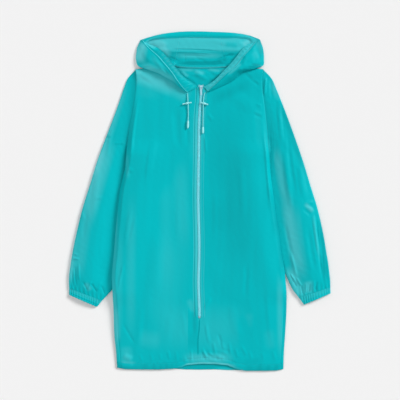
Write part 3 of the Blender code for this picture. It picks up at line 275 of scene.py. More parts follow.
HEM_PUCKERS = (
    (-48, -459, -42, -485, 5.5, 0.6), (-27, -441, -24, -482, 5.5, 0.72), (-12, -452, -10, -480, 5.5, 0.48),
    (9, -447, 21, -471, 5.5, 0.84), (24, -453, 42, -465, 5.5, 0.72, 1), (39, -420, 48, -465, 5.5, 0.72),
    (63, -420, 75, -450, 5.5, 0.6), (87, -420, 93, -465, 5.5, 0.72), (105, -438, 114, -471, 5.5, 0.54),
    (123, -432, 141, -465, 5.5, 0.54), (147, -447, 156, -477, 5.5, 0.48), (186, -453, 192, -480, 5.5, 0.36),
    (219, -447, 228, -480, 5.5, 0.42), (-180, -459, -174, -483, 5.5, 0.42), (-150, -453, -141, -483, 5.5, 0.36),
    (-120, -456, -117, -480, 5.5, 0.42), (-96, -447, -90, -480, 5.5, 0.48), (-72, -447, -69, -483, 5.5, 0.48),
)
BACK_CREASES = (
    (-14, 396, 26, 360, 9, 2.6, 4), (66, 396, 24, 356, 10, 2.2, -3), (-36, 394, -4, 352, 8, -0.8),
    (-60, 394, -30, 366, 7, 1.8, 2), (8, 398, 44, 372, 6, -0.9, -3), (-30, 382, 0, 376, 5, 1.2),
    (30, 388, 60, 380, 5, 1, 1),
)
# Painted light and shade on the back, as tones: painted highlights along its hem's edge, and painted light and painted
# shadow on the folds inside the neck and under the binding
BACK_PAINTED_SHADING = (
    (36, -503, 114, -506, 6, 1.3), (-110, -504, -60, -505, 6, 0.6), (-20, 392, 17, 382, 9, 1),
    (-72, 396, -12, 393, 7, 0.8), (62, 394, 86, 388, 8, 0.9), (20, 396, 66, 390, 6, 0.9),
    (66, 378, 28, 350, 9, -1.7, 3), (-56, 392, -34, 372, 7, 0.9), (-46, 370, -10, 352, 8, -0.7),
    (0, 376, 26, 364, 6, -0.7),
)
# Hollows of the hidden side of the back, which otherwise lies on the surface
BACK_HOLLOWS = (
    (-150, 250, -170, -120, 22, 1.6, 8), (-60, 330, -40, 60, 16, 1.2, -6), (70, 300, 96, -40, 20, 1.5, 7),
    (170, 180, 186, -200, 18, 1.4, -5), (-190, -230, -150, -450, 18, 1.3, 4), (-40, -60, -66, -400, 24, 1.5, -8),
    (60, -180, 40, -470, 16, 1.2, 5), (150, -260, 176, -460, 20, 1.4, -4), (-120, 20, -90, -180, 12, 1, 3),
    (10, 120, 24, -120, 14, 1.1, 4), (-20, -440, 30, -486, 12, 1.2), (120, 60, 136, -120, 12, 0.9, 3),
)
LEFT_CREASES = (
    (-291, 204, -264, 195, 4, 1), (-294, 192, -272, 189, 4, -1), (-284, 183, -268, 180, 3.5, 1),
    (-258, 172, -224, 172, 3.5, 0.9), (-318, 6, -291, 12, 4.5, 1.4, 1), (-357, -33, -345, -57, 7, 0.8),
    (-386, -171, -360, -174, 4.5, 1.6), (-383, -156, -366, -162, 3.5, 0.8), (-375, -192, -369, -262, 4, -1.4, 1),
    (-363, -183, -360, -243, 4, 1.6, 1), (-384, -207, -381, -262, 4, -1), (-351, -240, -336, -271, 4, -1.4),
    (-336, -268, -324, -238, 4, 1.4), (-327, -243, -309, -276, 4, -1.4), (-309, -273, -294, -240, 4, 1.3),
    (-297, -252, -285, -283, 4, -1.1), (-339, -20, -352, -120, 10, -0.7), (-300, 120, -318, -60, 14, 0.9, 4),
    (-280, -40, -296, -200, 12, 0.7, 3), (-262, 230, -280, 120, 8, 0.7),
)
RIGHT_CREASES = (
    (198, 378, 193, 312, 6, 2.2), (212, 366, 216, 300, 7, -0.8), (237, 318, 252, 150, 10, 1.6, 4),
    (252, 168, 277, -36, 11, 1.7, 3), (261, 213, 289, 0, 9, -1.2, 3), (300, 126, 316, 0, 14, 1.5, 3),
    (310, -8, 343, -3, 5.5, 1.6), (316, -16, 342, -30, 5.5, 1.3), (308, -23, 333, -43, 7, -1.4),
    (338, -28, 361, -180, 7, 2, 2), (349, -40, 369, -249, 5, -1.6, 3), (322, -66, 348, -222, 10, -1.2, 3),
    (270, -144, 291, -231, 6, 1.4), (254, -57, 285, -192, 8, -1, 3), (271, -216, 288, -246, 4, 1.4),
    (276, -228, 291, -261, 4, -1.2), (288, -228, 306, -258, 4, 1.2), (330, -246, 327, -279, 4, -1.8),
    (303, -250, 309, -281, 3.5, -1.2), (318, -243, 318, -277, 4, 1), (351, -240, 346, -270, 3.5, -1.3),
    (342, -236, 338, -270, 4, 1), (372, -147, 376, -262, 6, 1.2), (240, 250, 262, 60, 12, -0.8),
)
WING_CREASES = (
    (122, 430, 113, 402, 6, -2), (168, 470, 150, 410, 14, 1.4, 4), (150, 440, 110, 384, 9, 1),
    (-172, 456, -150, 404, 14, 1.2, -4), (-140, 430, -96, 372, 8, 1), (-158, 474, -176, 440, 8, -1),
    (-120, 405, -84, 366, 5, -1), (182, 440, 172, 410, 5, -0.9),
)
INNER_CREASES = (
    (-104, 454, 66, 448, 2.6, -1.6, -3), (-100, 447, 50, 441, 4, 1.1, -2), (-60, 436, 30, 432, 5, -0.9, -2),
    (40, 412, 112, 440, 7, -2.6, -6), (-45, 446, -46, 410, 3, -0.8), (-100, 432, -60, 410, 8, -1.8, -3),
    (-150, 476, -90, 470, 12, 1.2), (20, 486, 110, 470, 10, 0.9, 3), (-20, 434, 20, 414, 7, -0.8),
    (-60, 492, 70, 488, 6, -0.6, 2), (104, 462, 128, 478, 7, 1.4), (-136, 452, -112, 436, 5, -1.2),
    (60, 436, 84, 420, 6, 0.9),
)
# Painted light and shade, as tones, on the hood's inside, on its two wings and on the sleeves: painted shadows above
# the binding and beside the wings, painted light where a surface turns away from the lamp, and painted shade where an
# edge faces it
INNER_PAINTED_SHADING = (
    (-84, 414, 104, 415, 9, -2.6), (30, 408, 94, 432, 8, -1.4, -3), (-164, 484, -96, 460, 20, 1.9),
    (-90, 437, 80, 437, 12, 0.9), (-146, 474, -84, 432, 15, 1.5, -3), (-118, 499, 150, 499, 8, 0.8),
    (126, 466, 162, 486, 14, 1.7), (70, 470, 118, 466, 14, -0.7), (-100, 454, 66, 449, 3, -0.6, -3),
)
WING_PAINTED_SHADING = (
    (-184, 412, -60, 346, 20, 1.4), (-150, 440, -96, 372, 15, 0.3), (-186, 470, -190, 420, 14, 0.4),
    (170, 492, 190, 430, 16, -1.1), (164, 498, 190, 466, 12, -0.9), (150, 411, 192, 402, 7, -1.4),
    (-168, 484, -186, 408, 24, 2), (192, 412, 60, 350, 16, -1.3), (140, 436, 76, 372, 13, 1.3),
    (134, 438, 124, 404, 9, -1.8), (160, 450, 176, 424, 14, 0.4),
)
SLEEVE_PAINTED_SHADING = (
    (-296, 160, -322, 70, 18, 0.8), (312, -6, 342, -34, 9, 1.4), (-264, 200, -350, -100, 30, 1),
    (-340, -40, -368, -240, 26, 0.5), (-346, -244, -326, -270, 12, 0.7), (-383, -150, -391, -258, 9, 0.8),
    (-215, 385, -372, -80, 22, 0.9), (-372, -60, -392, -250, 20, 0.7), (-258, 20, -290, -255, 20, -0.4, 2),
    (226, 170, 262, -20, 18, 0.9, 2), (256, 40, 304, -250, 24, 1.3, 4), (222, 340, 320, 60, 20, -0.6, -6),
    (214, 372, 250, 280, 16, 0.7, 2), (362, -30, 386, -270, 13, -1.6, 2), (340, 60, 370, -70, 9, -0.8),
    (338, -30, 362, -190, 7, 0.5, 2), (286, 0, 318, -250, 16, 0.4, 2), (262, -190, 308, -300, 26, 1.2),
    (322, -235, 328, -282, 20, 1), (222, 350, 346, 10, 16, -0.6), (-258, 172, -224, 172, 5, -0.5),
    (-291, 196, -262, 190, 5, -0.5),
)
# Hollows of the hidden side of the sleeves
UNDER_SLEEVE = {
    "sleeve_left": (
        (-340, 20, -372, -180, 12, 1.4, 4), (-290, 160, -316, 0, 10, 1.2, 3), (-300, -60, -330, -230, 10, 1.2, -3),
        (-250, 60, -270, -120, 9, 1, 2), (-352, -200, -346, -260, 5, 1), (-318, -215, -310, -266, 5, 1),
    ),
    "sleeve_right": (
        (330, 30, 366, -170, 12, 1.4, -4), (280, 180, 306, 10, 10, 1.2, -3), (296, -40, 322, -220, 10, 1.2, 3),
        (240, 70, 262, -110, 9, 1, -2), (350, -196, 346, -256, 5, 1), (312, -210, 314, -262, 5, 1),
    ),
}
# Stage: half the floor's side, its height, the brightness that the camera sees past it, the camera's sensor
# in millimetres, and the middle of its view, in metres
FLOOR_HALF, FLOOR_Z, AIR_SEEN, SENSOR = 40.0, -5e-5, 0.888, 36.0
VIEW_CENTRE, VIEW_HEIGHT = (0.00078, 0.00318), 0.008
# Zip and cord
TOOTH_PITCH = 2.5
# A tooth's corners: across, along and up, in millimetres
TOOTH = np.array((
    (-1.2, -0.62, 0.0), (3.8, -0.62, 0.0), (3.8, 0.62, 0.0), (-1.2, 0.62, 0.0),
    (-1.0, -0.46, 2.4), (3.4, -0.46, 2.1), (3.4, 0.46, 2.1), (-1.0, 0.46, 2.4),
))
BLOCK_FACES = np.array(((0, 3, 2, 1), (4, 5, 6, 7), (0, 1, 5, 4), (1, 2, 6, 5), (2, 3, 7, 6), (3, 0, 4, 7)))
CORD_RADIUS = 1.5
CORD_SIDES = 20
# The pull tab's ring in section: distance from the pin, place along it
EYE_PROFILE = np.array((
    (1.15, -1.9), (1.5, -2.1), (1.85, -1.9), (1.9, 0.0), (1.85, 1.9), (1.5, 2.1), (1.15, 1.9), (1.1, 0.0),
))
TAPE_TOP_Y = 349.0
TAPE_WALL = 0.9
THREAD_LIFT = 0.15
THREAD_FACES = np.array(((0, 2, 1), (0, 3, 2), (0, 4, 3), (0, 1, 4), (5, 1, 2), (5, 2, 3), (5, 3, 4), (5, 4, 1)))
PIN = np.array(frame["joints"][0]["pos_m"]) / MM + (*CENTRE, 0.0)
PLATE_TOP = PIN[2] - 2.4
PLATE_LOW = PLATE_TOP - 1.4


# ---------------------------------------------------------------- smooth curves and soft shapes

def columns(rows):
    """The columns of a table, as arrays."""
    return np.array(rows, float).T


def read(x, xs, ys):
    """A smooth curve through a table's points: a cubic in each step, with the slope of its neighbours."""
    slopes = np.gradient(ys, xs)
    x = np.clip(x, xs[0], xs[-1])
    i = np.clip(np.searchsorted(xs, x, side="right") - 1, 0, len(xs) - 2)
    step = xs[i + 1] - xs[i]
    t = (x - xs[i]) / step
    near, far = slopes[i] * step, slopes[i + 1] * step
    rise = ys[i + 1] - ys[i]
    return ys[i] + t * near + t * t * (3 * rise - 2 * near - far) + t ** 3 * (near + far - 2 * rise)


def ease(q):
    """From 0 to 1, level at both ends: 3 q^2 - 2 q^3."""
    q = np.clip(q, 0.0, 1.0)
    return q * q * (3.0 - 2.0 * q)


def roll(q):
    """From 0 to 1 as a quarter circle: sqrt(1 - (1 - q)^2)."""
    q = np.clip(q, 0.0, 1.0)
    return np.sqrt(np.maximum(1.0 - (1.0 - q) ** 2, 0.0))


def bump(q):
    """A soft hump: (1 - q^2)^2 between -1 and 1, and 0 outside."""
    return np.maximum(1.0 - q * q, 0.0) ** 2


def both_ends(q, share):
    """From 0 up to 1 and back down to 0, over that share at each end."""
    return ease(q / share) * ease((1.0 - q) / share)


def unit(v):
    """Vectors of length 1 with the same directions."""
    return v / np.maximum(np.linalg.norm(v, axis=-1, keepdims=True), 1e-9)


def run_along(line):
    """How far along a line each of its points is."""
    return np.concatenate([[0.0], np.cumsum(np.linalg.norm(np.diff(line, axis=0), axis=1))])


def points_at(x, y, z):
    """Points from their three coordinates."""
    return np.stack(np.broadcast_arrays(x, y, z), axis=-1)


def resample(rows, count):
    """A table's rows read again at count even places along it."""
    values = columns(rows)
    places = np.arange(values.shape[1], dtype=float)
    at = np.linspace(0.0, places[-1], count)
    return np.stack([read(at, places, column) for column in values])


def creases(x, y, table):
    """Sum over the table of height x hump across the line x a fade at both ends. The line is bowed sideways
    by bow x 4 t (1 - t), with t from 0 to 1 along it, where its row has a bow."""
    total = np.zeros(np.broadcast(x, y).shape)
    for x0, y0, x1, y1, half, height, *bow in table:
        length = math.hypot(x1 - x0, y1 - y0)
        ux, uy = (x1 - x0) / length, (y1 - y0) / length
        t = ((x - x0) * ux + (y - y0) * uy) / length
        off = (x - x0) * uy - (y - y0) * ux - sum(bow) * 4.0 * t * (1.0 - t)
        total = total + height * bump(off / half) * both_ends(t, 0.3)
    return total


def ripple(along, pitch, drift):
    """Uneven small waves between -1 and 1: a sine whose pitch drifts with two slower sines."""
    phase = along / pitch + drift * np.sin(along / (3.7 * pitch)) + 0.6 * drift * np.sin(along / (1.9 * pitch) + 1.3)
    return np.sin(2.0 * math.pi * phase)


def crumple(x, y):
    """A faint unevenness of thin cloth: three crossed slow sines, each bent by another."""
    a = np.sin(x / 37.0 + 1.7 * np.sin(y / 83.0))
    b = np.sin(y / 61.0 + 1.3 * np.sin(x / 49.0 + 0.6))
    c = np.sin((x + 0.4 * y) / 21.0 + 2.0 * np.sin((y - 0.3 * x) / 57.0))
    return 0.16 * a * b + 0.08 * c


def fine_folds(x, y):
    """Small uneven folds of limp cloth: two crossed sines about 15 mm long, bent and thinned by slower ones."""
    a = np.sin(x / 2.9 + 2.4 * np.sin(y / 23.0)) * np.sin(y / 9.0 + 2.0 * np.sin(x / 17.0))
    b = np.sin((x + y) / 4.3 + 1.9 * np.sin((x - y) / 19.0 + 1.0)) * np.sin(y / 31.0 + 1.5 * np.sin(x / 27.0))
    return 0.10 * a + 0.22 * b


def drape(x, y):
    """Long faint folds along y: two products of slow sines, narrow across and long along, bent by others."""
    a = np.sin(x / 9.0 + 2.2 * np.sin(y / 140.0 + x / 60.0)) * np.sin(y / 170.0 + 1.5 * np.sin(x / 45.0))
    b = np.sin(x / 5.0 + 1.8 * np.sin(y / 90.0 - x / 80.0)) * np.sin(y / 110.0 + 2.0 * np.sin(x / 31.0 + 1.0))
    return 0.26 * a + 0.15 * b


SIDE_Y, SIDE_LEFT, SIDE_RIGHT = columns(BODY_SIDES)
HEM_X, HEM_FRONT, HEM_BACK = columns(HEM_LINE)
FRONT_TOP_X, FRONT_TOP_Y = columns(FRONT_TOP)
BACK_TOP_X, BACK_TOP_Y = columns(BACK_TOP)
ZIP_Y, ZIP_X = columns(ZIP_LINE)
CROWN_Y, CROWN_ROOM = columns(CROWN)
TUCK_Y, TUCK_WIDTH = columns(TUCK)
FLOOR_Y, FLOOR_RISE = columns(HOOD_FLOOR)
ARC_X, ARC_Y = columns(HOOD_ARC)
CORNERS_X = (LEFT_HOOD[0][2], LEFT_HOOD[0][0], RIGHT_HOOD[0][0], RIGHT_HOOD[0][2])
CORNERS_Y = (LEFT_HOOD[0][3], LEFT_HOOD[0][1], RIGHT_HOOD[0][1], RIGHT_HOOD[0][3])


def side_x(side, y):
    """The body's edge at height y: side -1 is the left one, 1 the right one."""
    return read(y, SIDE_Y, SIDE_LEFT if side < 0 else SIDE_RIGHT)


def zip_x(y):
    """The zip's middle line at height y."""
    return read(y, ZIP_Y, ZIP_X)


def hem_y(x, hem=HEM_FRONT):
    """Height of a panel's hem across the coat."""
    return np.interp(x, HEM_X, hem)


def top_y(x):
    """Height of the shoulder seams and the back of the neck across the coat."""
    return np.interp(x, BACK_TOP_X, BACK_TOP_Y)


def arc_y(x):
    """Height of the hood's top edge across the coat."""
    return np.interp(x, ARC_X, ARC_Y)


def edge_distance(x, y):
    """How far a point is in from the nearer side edge."""
    return np.minimum(x - side_x(-1, y), side_x(1, y) - x)


def shoulder_distance(x, y):
    """How far a point is below the shoulder seams and the back of the neck."""
    return top_y(x) - y


def back_lift(x, y, ramp=36.0):
    """Height of the back's underside: 0 on the surface, raised where a sleeve is tucked below it. The ramp
    down from the sleeve's edge is longer for the fronts, which bridge it."""
    along = ease((y + 318.0) / 50.0) * (1.0 - ease((y - UNDERARM_Y - 36.0) / 56.0))
    across = 1.0 - ease((edge_distance(x, y) - read(y, TUCK_Y, TUCK_WIDTH)) / ramp)
    shoulder = (1.0 - ease(shoulder_distance(x, y) / 40.0)) * ease((np.abs(x) - 95.0) / 60.0)
    return BACK_LIFT * along * across + SHOULDER_LIFT * shoulder


def back_height(x, y):
    """Height of the back's upper side, with the folds that show inside the neck."""
    neck = ease(1.0 - np.hypot((x - 4.0) / 90.0, (y - 372.0) / 44.0) ** 2)
    return back_lift(x, y) + CLOTH + creases(x, y, BACK_CREASES) + 1.6 * neck * fine_folds(x, y)


def front_folds(x, y):
    """Folds of the fronts, which die away at the side seams, the top, the zip and under the cords."""
    zip_off = np.abs(x - zip_x(y))
    broad = creases(x, y, BROAD_FOLDS) * ease((zip_off - 12.0) / 70.0)
    middle = ease(1.0 - np.hypot((x - 25.0) / 120.0, (y + 466.0) / 34.0) ** 2)
    fine = FOLD_GAIN * (creases(x, y, FRONT_CREASES) + creases(x, y, HEM_PUCKERS)) + 2.0 * crumple(x, y) + drape(x, y)
    fine = fine + (0.3 + 2.4 * middle) * fine_folds(x, y)
    fine = fine * ease((zip_off - 4.0) / 14.0)
    return (broad + fine) * ease(edge_distance(x, y) / 14.0) * ease((shoulder_distance(x, y) - 2.0) / 16.0)


def front_height(x, y):
    """Height of the fronts' upper side: the back, the room between, which grows in from the edges as a
    quarter circle, and the folds."""
    rise = ARMHOLE_RISE * ease((y - UNDERARM_Y) / 55.0)
    crown = read(y, CROWN_Y, CROWN_ROOM)
    inset = edge_distance(x, y)
    full = 0.5 + 0.4 * ease((-150.0 - y) / 120.0) * (x < 0.0)
    room = rise + np.maximum(crown - rise, 0.0) * (full * roll(inset / SIDE_ROLL) + (1.0 - full) * ease(inset / 60.0))
    room = (room + front_folds(x, y)) * roll((shoulder_distance(x, y) + 0.5) / SHOULDER_ROLL)
    room = room * (0.35 + 0.65 * roll((y - hem_y(x)) / 40.0))
    return back_lift(x, y, 90.0) + 2.0 * CLOTH + SEAM + room


def below_hood(x, y):
    """Height of what the hood lies on: the surface, the shoulder and front, or the back inside the neck."""
    body = front_height(x, np.minimum(y, top_y(x))) + 2.0 * SEAM
    body = body + 4.0 * SEAM * ease(1.0 - np.abs(shoulder_distance(x, y) - 5.0) / 11.0)
    inside = ease(np.minimum(x + 80.0, 90.0 - x) / 12.0) * ease((y - 394.0) / 8.0)
    body = body + (CLOTH + SEAM - body) * inside
    return body * (1.0 - ease(-(shoulder_distance(x, y) + 2.0) / 12.0))


def hood_rise(x, y):
    """Rise of the hood's inner layer, which fades towards the outer folds."""
    fade = 1.0 - ease((np.abs(x) - 100.0) / 60.0)
    return read(y, FLOOR_Y, FLOOR_RISE) * fade


def hood_inside(x, y):
    """Height of the hood's inner layer: what it lies on, its rise and its creases."""
    fade = ease((y - 404.0) / 14.0) * (1.0 - ease((y - 492.0) / 14.0))
    rise = hood_rise(x, y)
    folds = np.maximum(creases(x, y, INNER_CREASES) * fade, -0.7 * rise)
    return below_hood(x, y) + rise + folds + (0.3 * crumple(x, y) + 0.7 * fine_folds(x, y)) * fade


# ---------------------------------------------------------------- meshes

def normals(grid, ring):
    """Unit normals of a grid of points: the cross product of its two slopes."""
    along = np.gradient(grid, axis=0)
    across = np.roll(grid, -1, axis=1) - np.roll(grid, 1, axis=1) if ring else np.gradient(grid, axis=1)
    return unit(np.cross(across, along))


def let_down(outer, wall, facing=None, ring=False):
    """A grid let down along its normals by the wall. facing is the columns that face up, and where none are
    given every point does."""
    normal = normals(outer, ring)
    up = normal[..., 2:3] if facing is None else normal[:, facing, 2].mean()
    return outer - normal * np.sign(up) * wall


def grid_quads(rows, cols, ring):
    """Quads between neighbours of a grid. A ring's last column meets its first."""
    r, c = np.meshgrid(np.arange(rows - 1), np.arange(cols if ring else cols - 1), indexing="ij")
    d = (c + 1) % cols
    return np.stack([r * cols + c, r * cols + d, (r + 1) * cols + d, (r + 1) * cols + c], axis=-1).reshape(-1, 4)


def rim_quads(loop, count):
    """Quads that join a closed line of points to its twin on the other side of a wall."""
    after = np.roll(loop, -1)
    return np.stack([after, loop, loop + count, after + count], axis=1)


def wall_faces(rows, cols, ring):
    """Faces of a closed wall: one grid, the same grid turned over, and the rims between them."""
    count = rows * cols
    quads = grid_quads(rows, cols, ring)
    if ring:
        rims = [rim_quads(np.arange(cols), count), rim_quads((rows - 1) * cols + np.arange(cols)[::-1], count)]
    else:
        first, last = np.arange(cols), (rows - 1) * cols + np.arange(cols)
        right, left = np.arange(1, rows - 1) * cols + cols - 1, np.arange(1, rows - 1) * cols
        rims = [rim_quads(np.concatenate([first, right, last[::-1], left[::-1]]), count)]
    return np.concatenate([quads, quads[:, ::-1] + count] + rims)


def outward(points, faces):
    """The faces, turned over if the shape's signed volume is below zero."""
    a, b, c, d = (points[faces[:, i]] for i in range(4))
    volume = np.sum(a * np.cross(b, c)) + np.sum(a * np.cross(c, d))
    return faces if volume > 0 else faces[:, ::-1]


def add_mesh(name, points, faces, look, uv=None, tone=None, smooth=True, angle=50.0):
    """One object from points in millimetres, as uv is. Tone is above 0 where cloth is paler, where it lifts off what
    is below and where light is painted, and below 0 where it is deeper, where it lies double and where shade is
    painted."""
    mesh = bpy.data.meshes.new(name)
    mesh.from_pydata(((points - (*CENTRE, 0.0)) * MM).tolist(), [], faces.tolist())
    mesh.validate()
    if uv is not None:
        corner = np.zeros(len(mesh.loops), np.int32)
        mesh.loops.foreach_get("vertex_index", corner)
        mesh.uv_layers.new(name="cloth").data.foreach_set("uv", (uv[corner] * MM).ravel())
    shade = mesh.attributes.new("tone", "FLOAT", "POINT")
    shade.data.foreach_set("value", np.zeros(len(points)) if tone is None else tone)
    if smooth:
        mesh.shade_smooth()
        mesh.set_sharp_from_angle(angle=math.radians(angle))
    mesh.materials.append(look)
    made = bpy.data.objects.new(name, mesh)
    bpy.context.scene.collection.objects.link(made)
    return made


def add_part(name, points, faces, look, body="garment", **more):
    """A piece that stands for the solid of its name and moves with its body."""
    made = add_mesh(name, points, faces, look, **more)
    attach(made, body)
    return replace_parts(made, name)


def span(grid):
    """Lengths along a grid's middle row and column, as a pair of coordinates for its pattern."""
    rows, cols = grid.shape[:2]
    return np.stack(np.meshgrid(run_along(grid[rows // 2]), run_along(grid[:, cols // 2])), axis=-1)


def add_cloth(name, outer, inner, look, ring=False, tone=None):
    """A closed cloth wall between two grids of points, with its pattern laid along both."""
    rows, cols = outer.shape[:2]
    points = np.concatenate([outer.reshape(-1, 3), inner.reshape(-1, 3)])
    points[:, 2] = np.maximum(points[:, 2], 0.0)
    faces = outward(points, wall_faces(rows, cols, ring))
    shade = None if tone is None else np.tile(np.broadcast_to(tone, (rows, cols)).ravel(), 2)
    return add_part(name, points, faces, look, uv=np.tile(span(outer).reshape(-1, 2), (2, 1)), tone=shade)


def shares(*parts):
    """Places from 0 to 1 in stretches: each part is (end, count), spaced evenly up to that end."""
    places, start = [0.0], 0.0
    for end, count in parts:
        places += list(np.linspace(start, end, count + 1)[1:])
        start = end
    return np.array(places)


# ---------------------------------------------------------------- body

def bent_rows(x, row, hem, tops_x, tops_y):
    """Heights of a panel's points: straight rows in the middle, bent to the hem and to the top edge."""
    low = (1.0 - ease((row - SIDE_Y[0]) / HEM_ZONE)) * (hem_y(x, hem) - SIDE_Y[0])
    share = ease((row - TOP_ZONE_Y) / (SHOULDER_TOP_Y - TOP_ZONE_Y))
    return row + low + share * (np.interp(x, tops_x, tops_y) - SHOULDER_TOP_Y)


def body_rows():
    """Row heights, closer together at the hem and the shoulders."""
    reach = SHOULDER_TOP_Y - SIDE_Y[0]
    return SIDE_Y[0] + reach * shares((0.03, 22), (0.11, 30), (0.88, 190), (1.0, 40))


def hem_shape(x, y, hem):
    """What the turned hem adds to a panel's height: a low hump over the band, a groove at its stitches,
    and puckers that fade away from them."""
    up = y - hem_y(x, hem)
    band = 0.5 * bump((up - 0.5 * HEM_BAND) / (0.6 * HEM_BAND))
    groove = -0.6 * bump((up - HEM_BAND) / 2.2)
    puckers = (0.22 + 0.16 * np.sin(x / 29.0)) * ripple(x, 10.5, 1.6) * bump((up - HEM_BAND) / 13.0)
    return band + groove + puckers


def hem_tone(x, y, hem):
    """Double cloth up to the hem's stitch line."""
    return -1.0 * ease((HEM_BAND + 0.8 - (y - hem_y(x, hem))) / 1.6)


def side_seam(x, y):
    """The side seam, rolled on to the front: a groove a little way in from the left edge, low on the coat."""
    inset = x - side_x(-1, y)
    left = -1.1 * bump((inset - 12.0) / 2.6) * ease((-250.0 - y) / 50.0)
    inset = side_x(1, y) - x
    return left - 0.9 * bump((inset - 9.0) / 2.4) * ease((-280.0 - y) / 50.0)


def placket(x, y):
    """Cloth beside the zip: raised over its tape, with a groove at each line of stitches."""
    off = np.abs(x - zip_x(y))
    inside = ease((y - ZIP_END_Y - 2.0) / 8.0)
    tape = 0.7 * ease((off - TEETH_GAP) / 2.0) * ease((14.5 - off) / 2.0)
    return inside * (tape - 0.5 * bump((off - PLACKET_STITCH) / 1.7))


def make_back(look):
    """The back panel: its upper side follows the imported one, and its underside lies on the surface but for
    a few hollows."""
    row, share = np.meshgrid(body_rows(), shares((0.05, 12), (0.95, 66), (1.0, 12)), indexing="ij")
    x = side_x(-1, row) + (side_x(1, row) - side_x(-1, row)) * share
    y = bent_rows(x, row, HEM_BACK, BACK_TOP_X, BACK_TOP_Y)
    hem = hem_shape(x, y, HEM_BACK)
    low = back_lift(x, y)
    top = back_height(x, y) + hem * 0.5
    hollow = creases(x, y, BACK_HOLLOWS) * ease(edge_distance(x, y) / 20.0)
    under = np.minimum(low + hollow + np.maximum(-hem, 0.0) * 0.4, top - 0.5 * CLOTH)
    top = top + hollow
    # Deeper over the turned hem, where the cloth lies double, with painted light and shade from the back's table
    tone = hem_tone(x, y, HEM_BACK) + creases(x, y, BACK_PAINTED_SHADING)
    return add_cloth("back_panel", points_at(x, y, top), points_at(x, y, under), look, tone=tone)


def front_grid(side):
    """Points of one front's upper side: rows from the hem, columns from the zip to the side seam."""
    row, share = np.meshgrid(body_rows(), shares((0.09, 18), (0.93, 78), (1.0, 14)), indexing="ij")
    lap = FRONT_LAP * ease((row - UNDERARM_Y) / 24.0) * (1.0 - ease((row - LAP_TOP_Y) / 24.0))
    outer = side_x(side, row) + side * lap
    zip_y = bent_rows(0.0, row, HEM_FRONT, FRONT_TOP_X, FRONT_TOP_Y)
    middle = zip_x(zip_y) + side * (0.5 * SEAM + (TEETH_GAP - 0.5 * SEAM) * ease((row - ZIP_END_Y + 1.0) / 4.0))
    x = middle + (outer - middle) * share
    y = bent_rows(x, row, HEM_FRONT, FRONT_TOP_X, FRONT_TOP_Y)
    inside = np.where(side * (x - side_x(side, y)) > 0.0, side_x(side, y), x)
    z = front_height(inside, y) + hem_shape(x, y, HEM_FRONT) + side_seam(inside, y) + placket(x, y)
    over = side * (x - side_x(side, y))
    return points_at(x, y, z - 1.2 * ease((over + 1.0) / 3.0) * ease((row - UNDERARM_Y) / 24.0))


def make_front(side, name, cloth, look):
    """One front: its upper side, let down by the wall. Its tone is pale over the zip's tape, with a painted highlight
    and a painted shade line beside the tape's stitches and a painted highlight along the raised middle of the hem's
    edge; it is deep over the turned hem, with painted shade on a fold left of the zip's foot, and deep on the seam
    below it. Broad painted light and shade come from the creases' table of tones."""
    outer = front_grid(side)
    x, y = outer[..., 0], outer[..., 1]
    off = np.abs(x - zip_x(y))
    # Pale over the tape; a painted highlight just outside the stitches beside the zip, and a painted shade line inside
    # them
    tape = 0.45 * ease((14.0 - off) / 1.5) + bump((off - 15.6) / 1.8) - 0.9 * bump((off - 12.6) / 1.6)
    tape = tape * ease((y - ZIP_END_Y - 2.0) / 6.0)
    arc = ease((130.0 - np.abs(x - 30.0)) / 50.0)
    band = hem_tone(x, y, HEM_FRONT) * (0.75 + 0.3 * ripple(x, 27.0, 1.7)) * (1.0 - 0.95 * arc)
    # A painted highlight along the hem's edge where its middle is raised
    edge = ease((7.0 - y + hem_y(x)) / 3.0)
    edge = edge * (1.8 * ease((74.0 - np.abs(x - 24.0)) / 18.0) + 0.4 * arc)
    # Painted shade on the fold left of the zip's foot
    panel = -0.55 * ease((x + 36.0) / 2.0) * ease((-4.0 - x) / 6.0)
    panel = panel * ease((-300.0 - y) / 60.0) * ease((y + 450.0) / 24.0)
    seam = -1.8 * ease((2.2 - off) / 1.2) * ease((ZIP_END_Y - 4.0 - y) / 4.0) * ease((y + 462.0) / 6.0)
    tone = band + edge + tape + creases(x, y, BROAD_PAINTED_SHADING) + panel + seam
    return add_cloth(name, outer, let_down(outer, cloth.thickness / MM), look, tone=tone)


# ---------------------------------------------------------------- sleeves and cuffs

def section_height(share, edge, crest_at, crest, groove_at, groove, inner):
    """Height of a sleeve across one section: a sine up to the crest, ease down to the groove and the edge."""
    up = edge + (crest - edge) * np.sin(0.5 * math.pi * np.clip(share / crest_at, 0.0, 1.0))
    down = crest + (groove - crest) * ease((share - crest_at) / (groove_at - crest_at))
    flat = groove + (inner - groove) * ease((share - groove_at) / (1.0 - groove_at))
    return np.where(share < crest_at, up, np.where(share < groove_at, down, flat))


def ring_places(over, under):
    """Places round a flat tube, closer together at its two folds: across its top, then back below."""
    top = 0.5 - 0.5 * np.cos(np.linspace(0.0, math.pi, over))
    below = 0.5 + 0.5 * np.cos(np.linspace(0.0, math.pi, under + 2))[1:-1]
    return np.concatenate([top, below])[None, :], np.concatenate([np.ones(over), np.zeros(under)])[None, :]


def armhole_bow(side, share, gap):
    """What bends the sleeve's straight armhole line to the body's edge, a gap away from it."""
    last = (LEFT_SLEEVE if side < 0 else RIGHT_SLEEVE)[-1]
    x, y = last[0] + (last[2] - last[0]) * share, last[1] + (last[3] - last[1]) * share
    return side_x(side, y) + side * gap - x


def rounded(share, width, upper, edge, inner, top):
    """Heights round a flat tube whose two folds are half circles: the top or the surface, drawn to
    half the fold's height within that half height of the fold."""
    near = roll(share * width / (0.5 * edge))
    far = roll((1.0 - share) * width / (0.5 * inner))
    middle = np.where(share < 0.5, 0.5 * edge, 0.5 * inner)
    return middle + (np.where(upper > 0.5, top, 0.0) - middle) * near * far


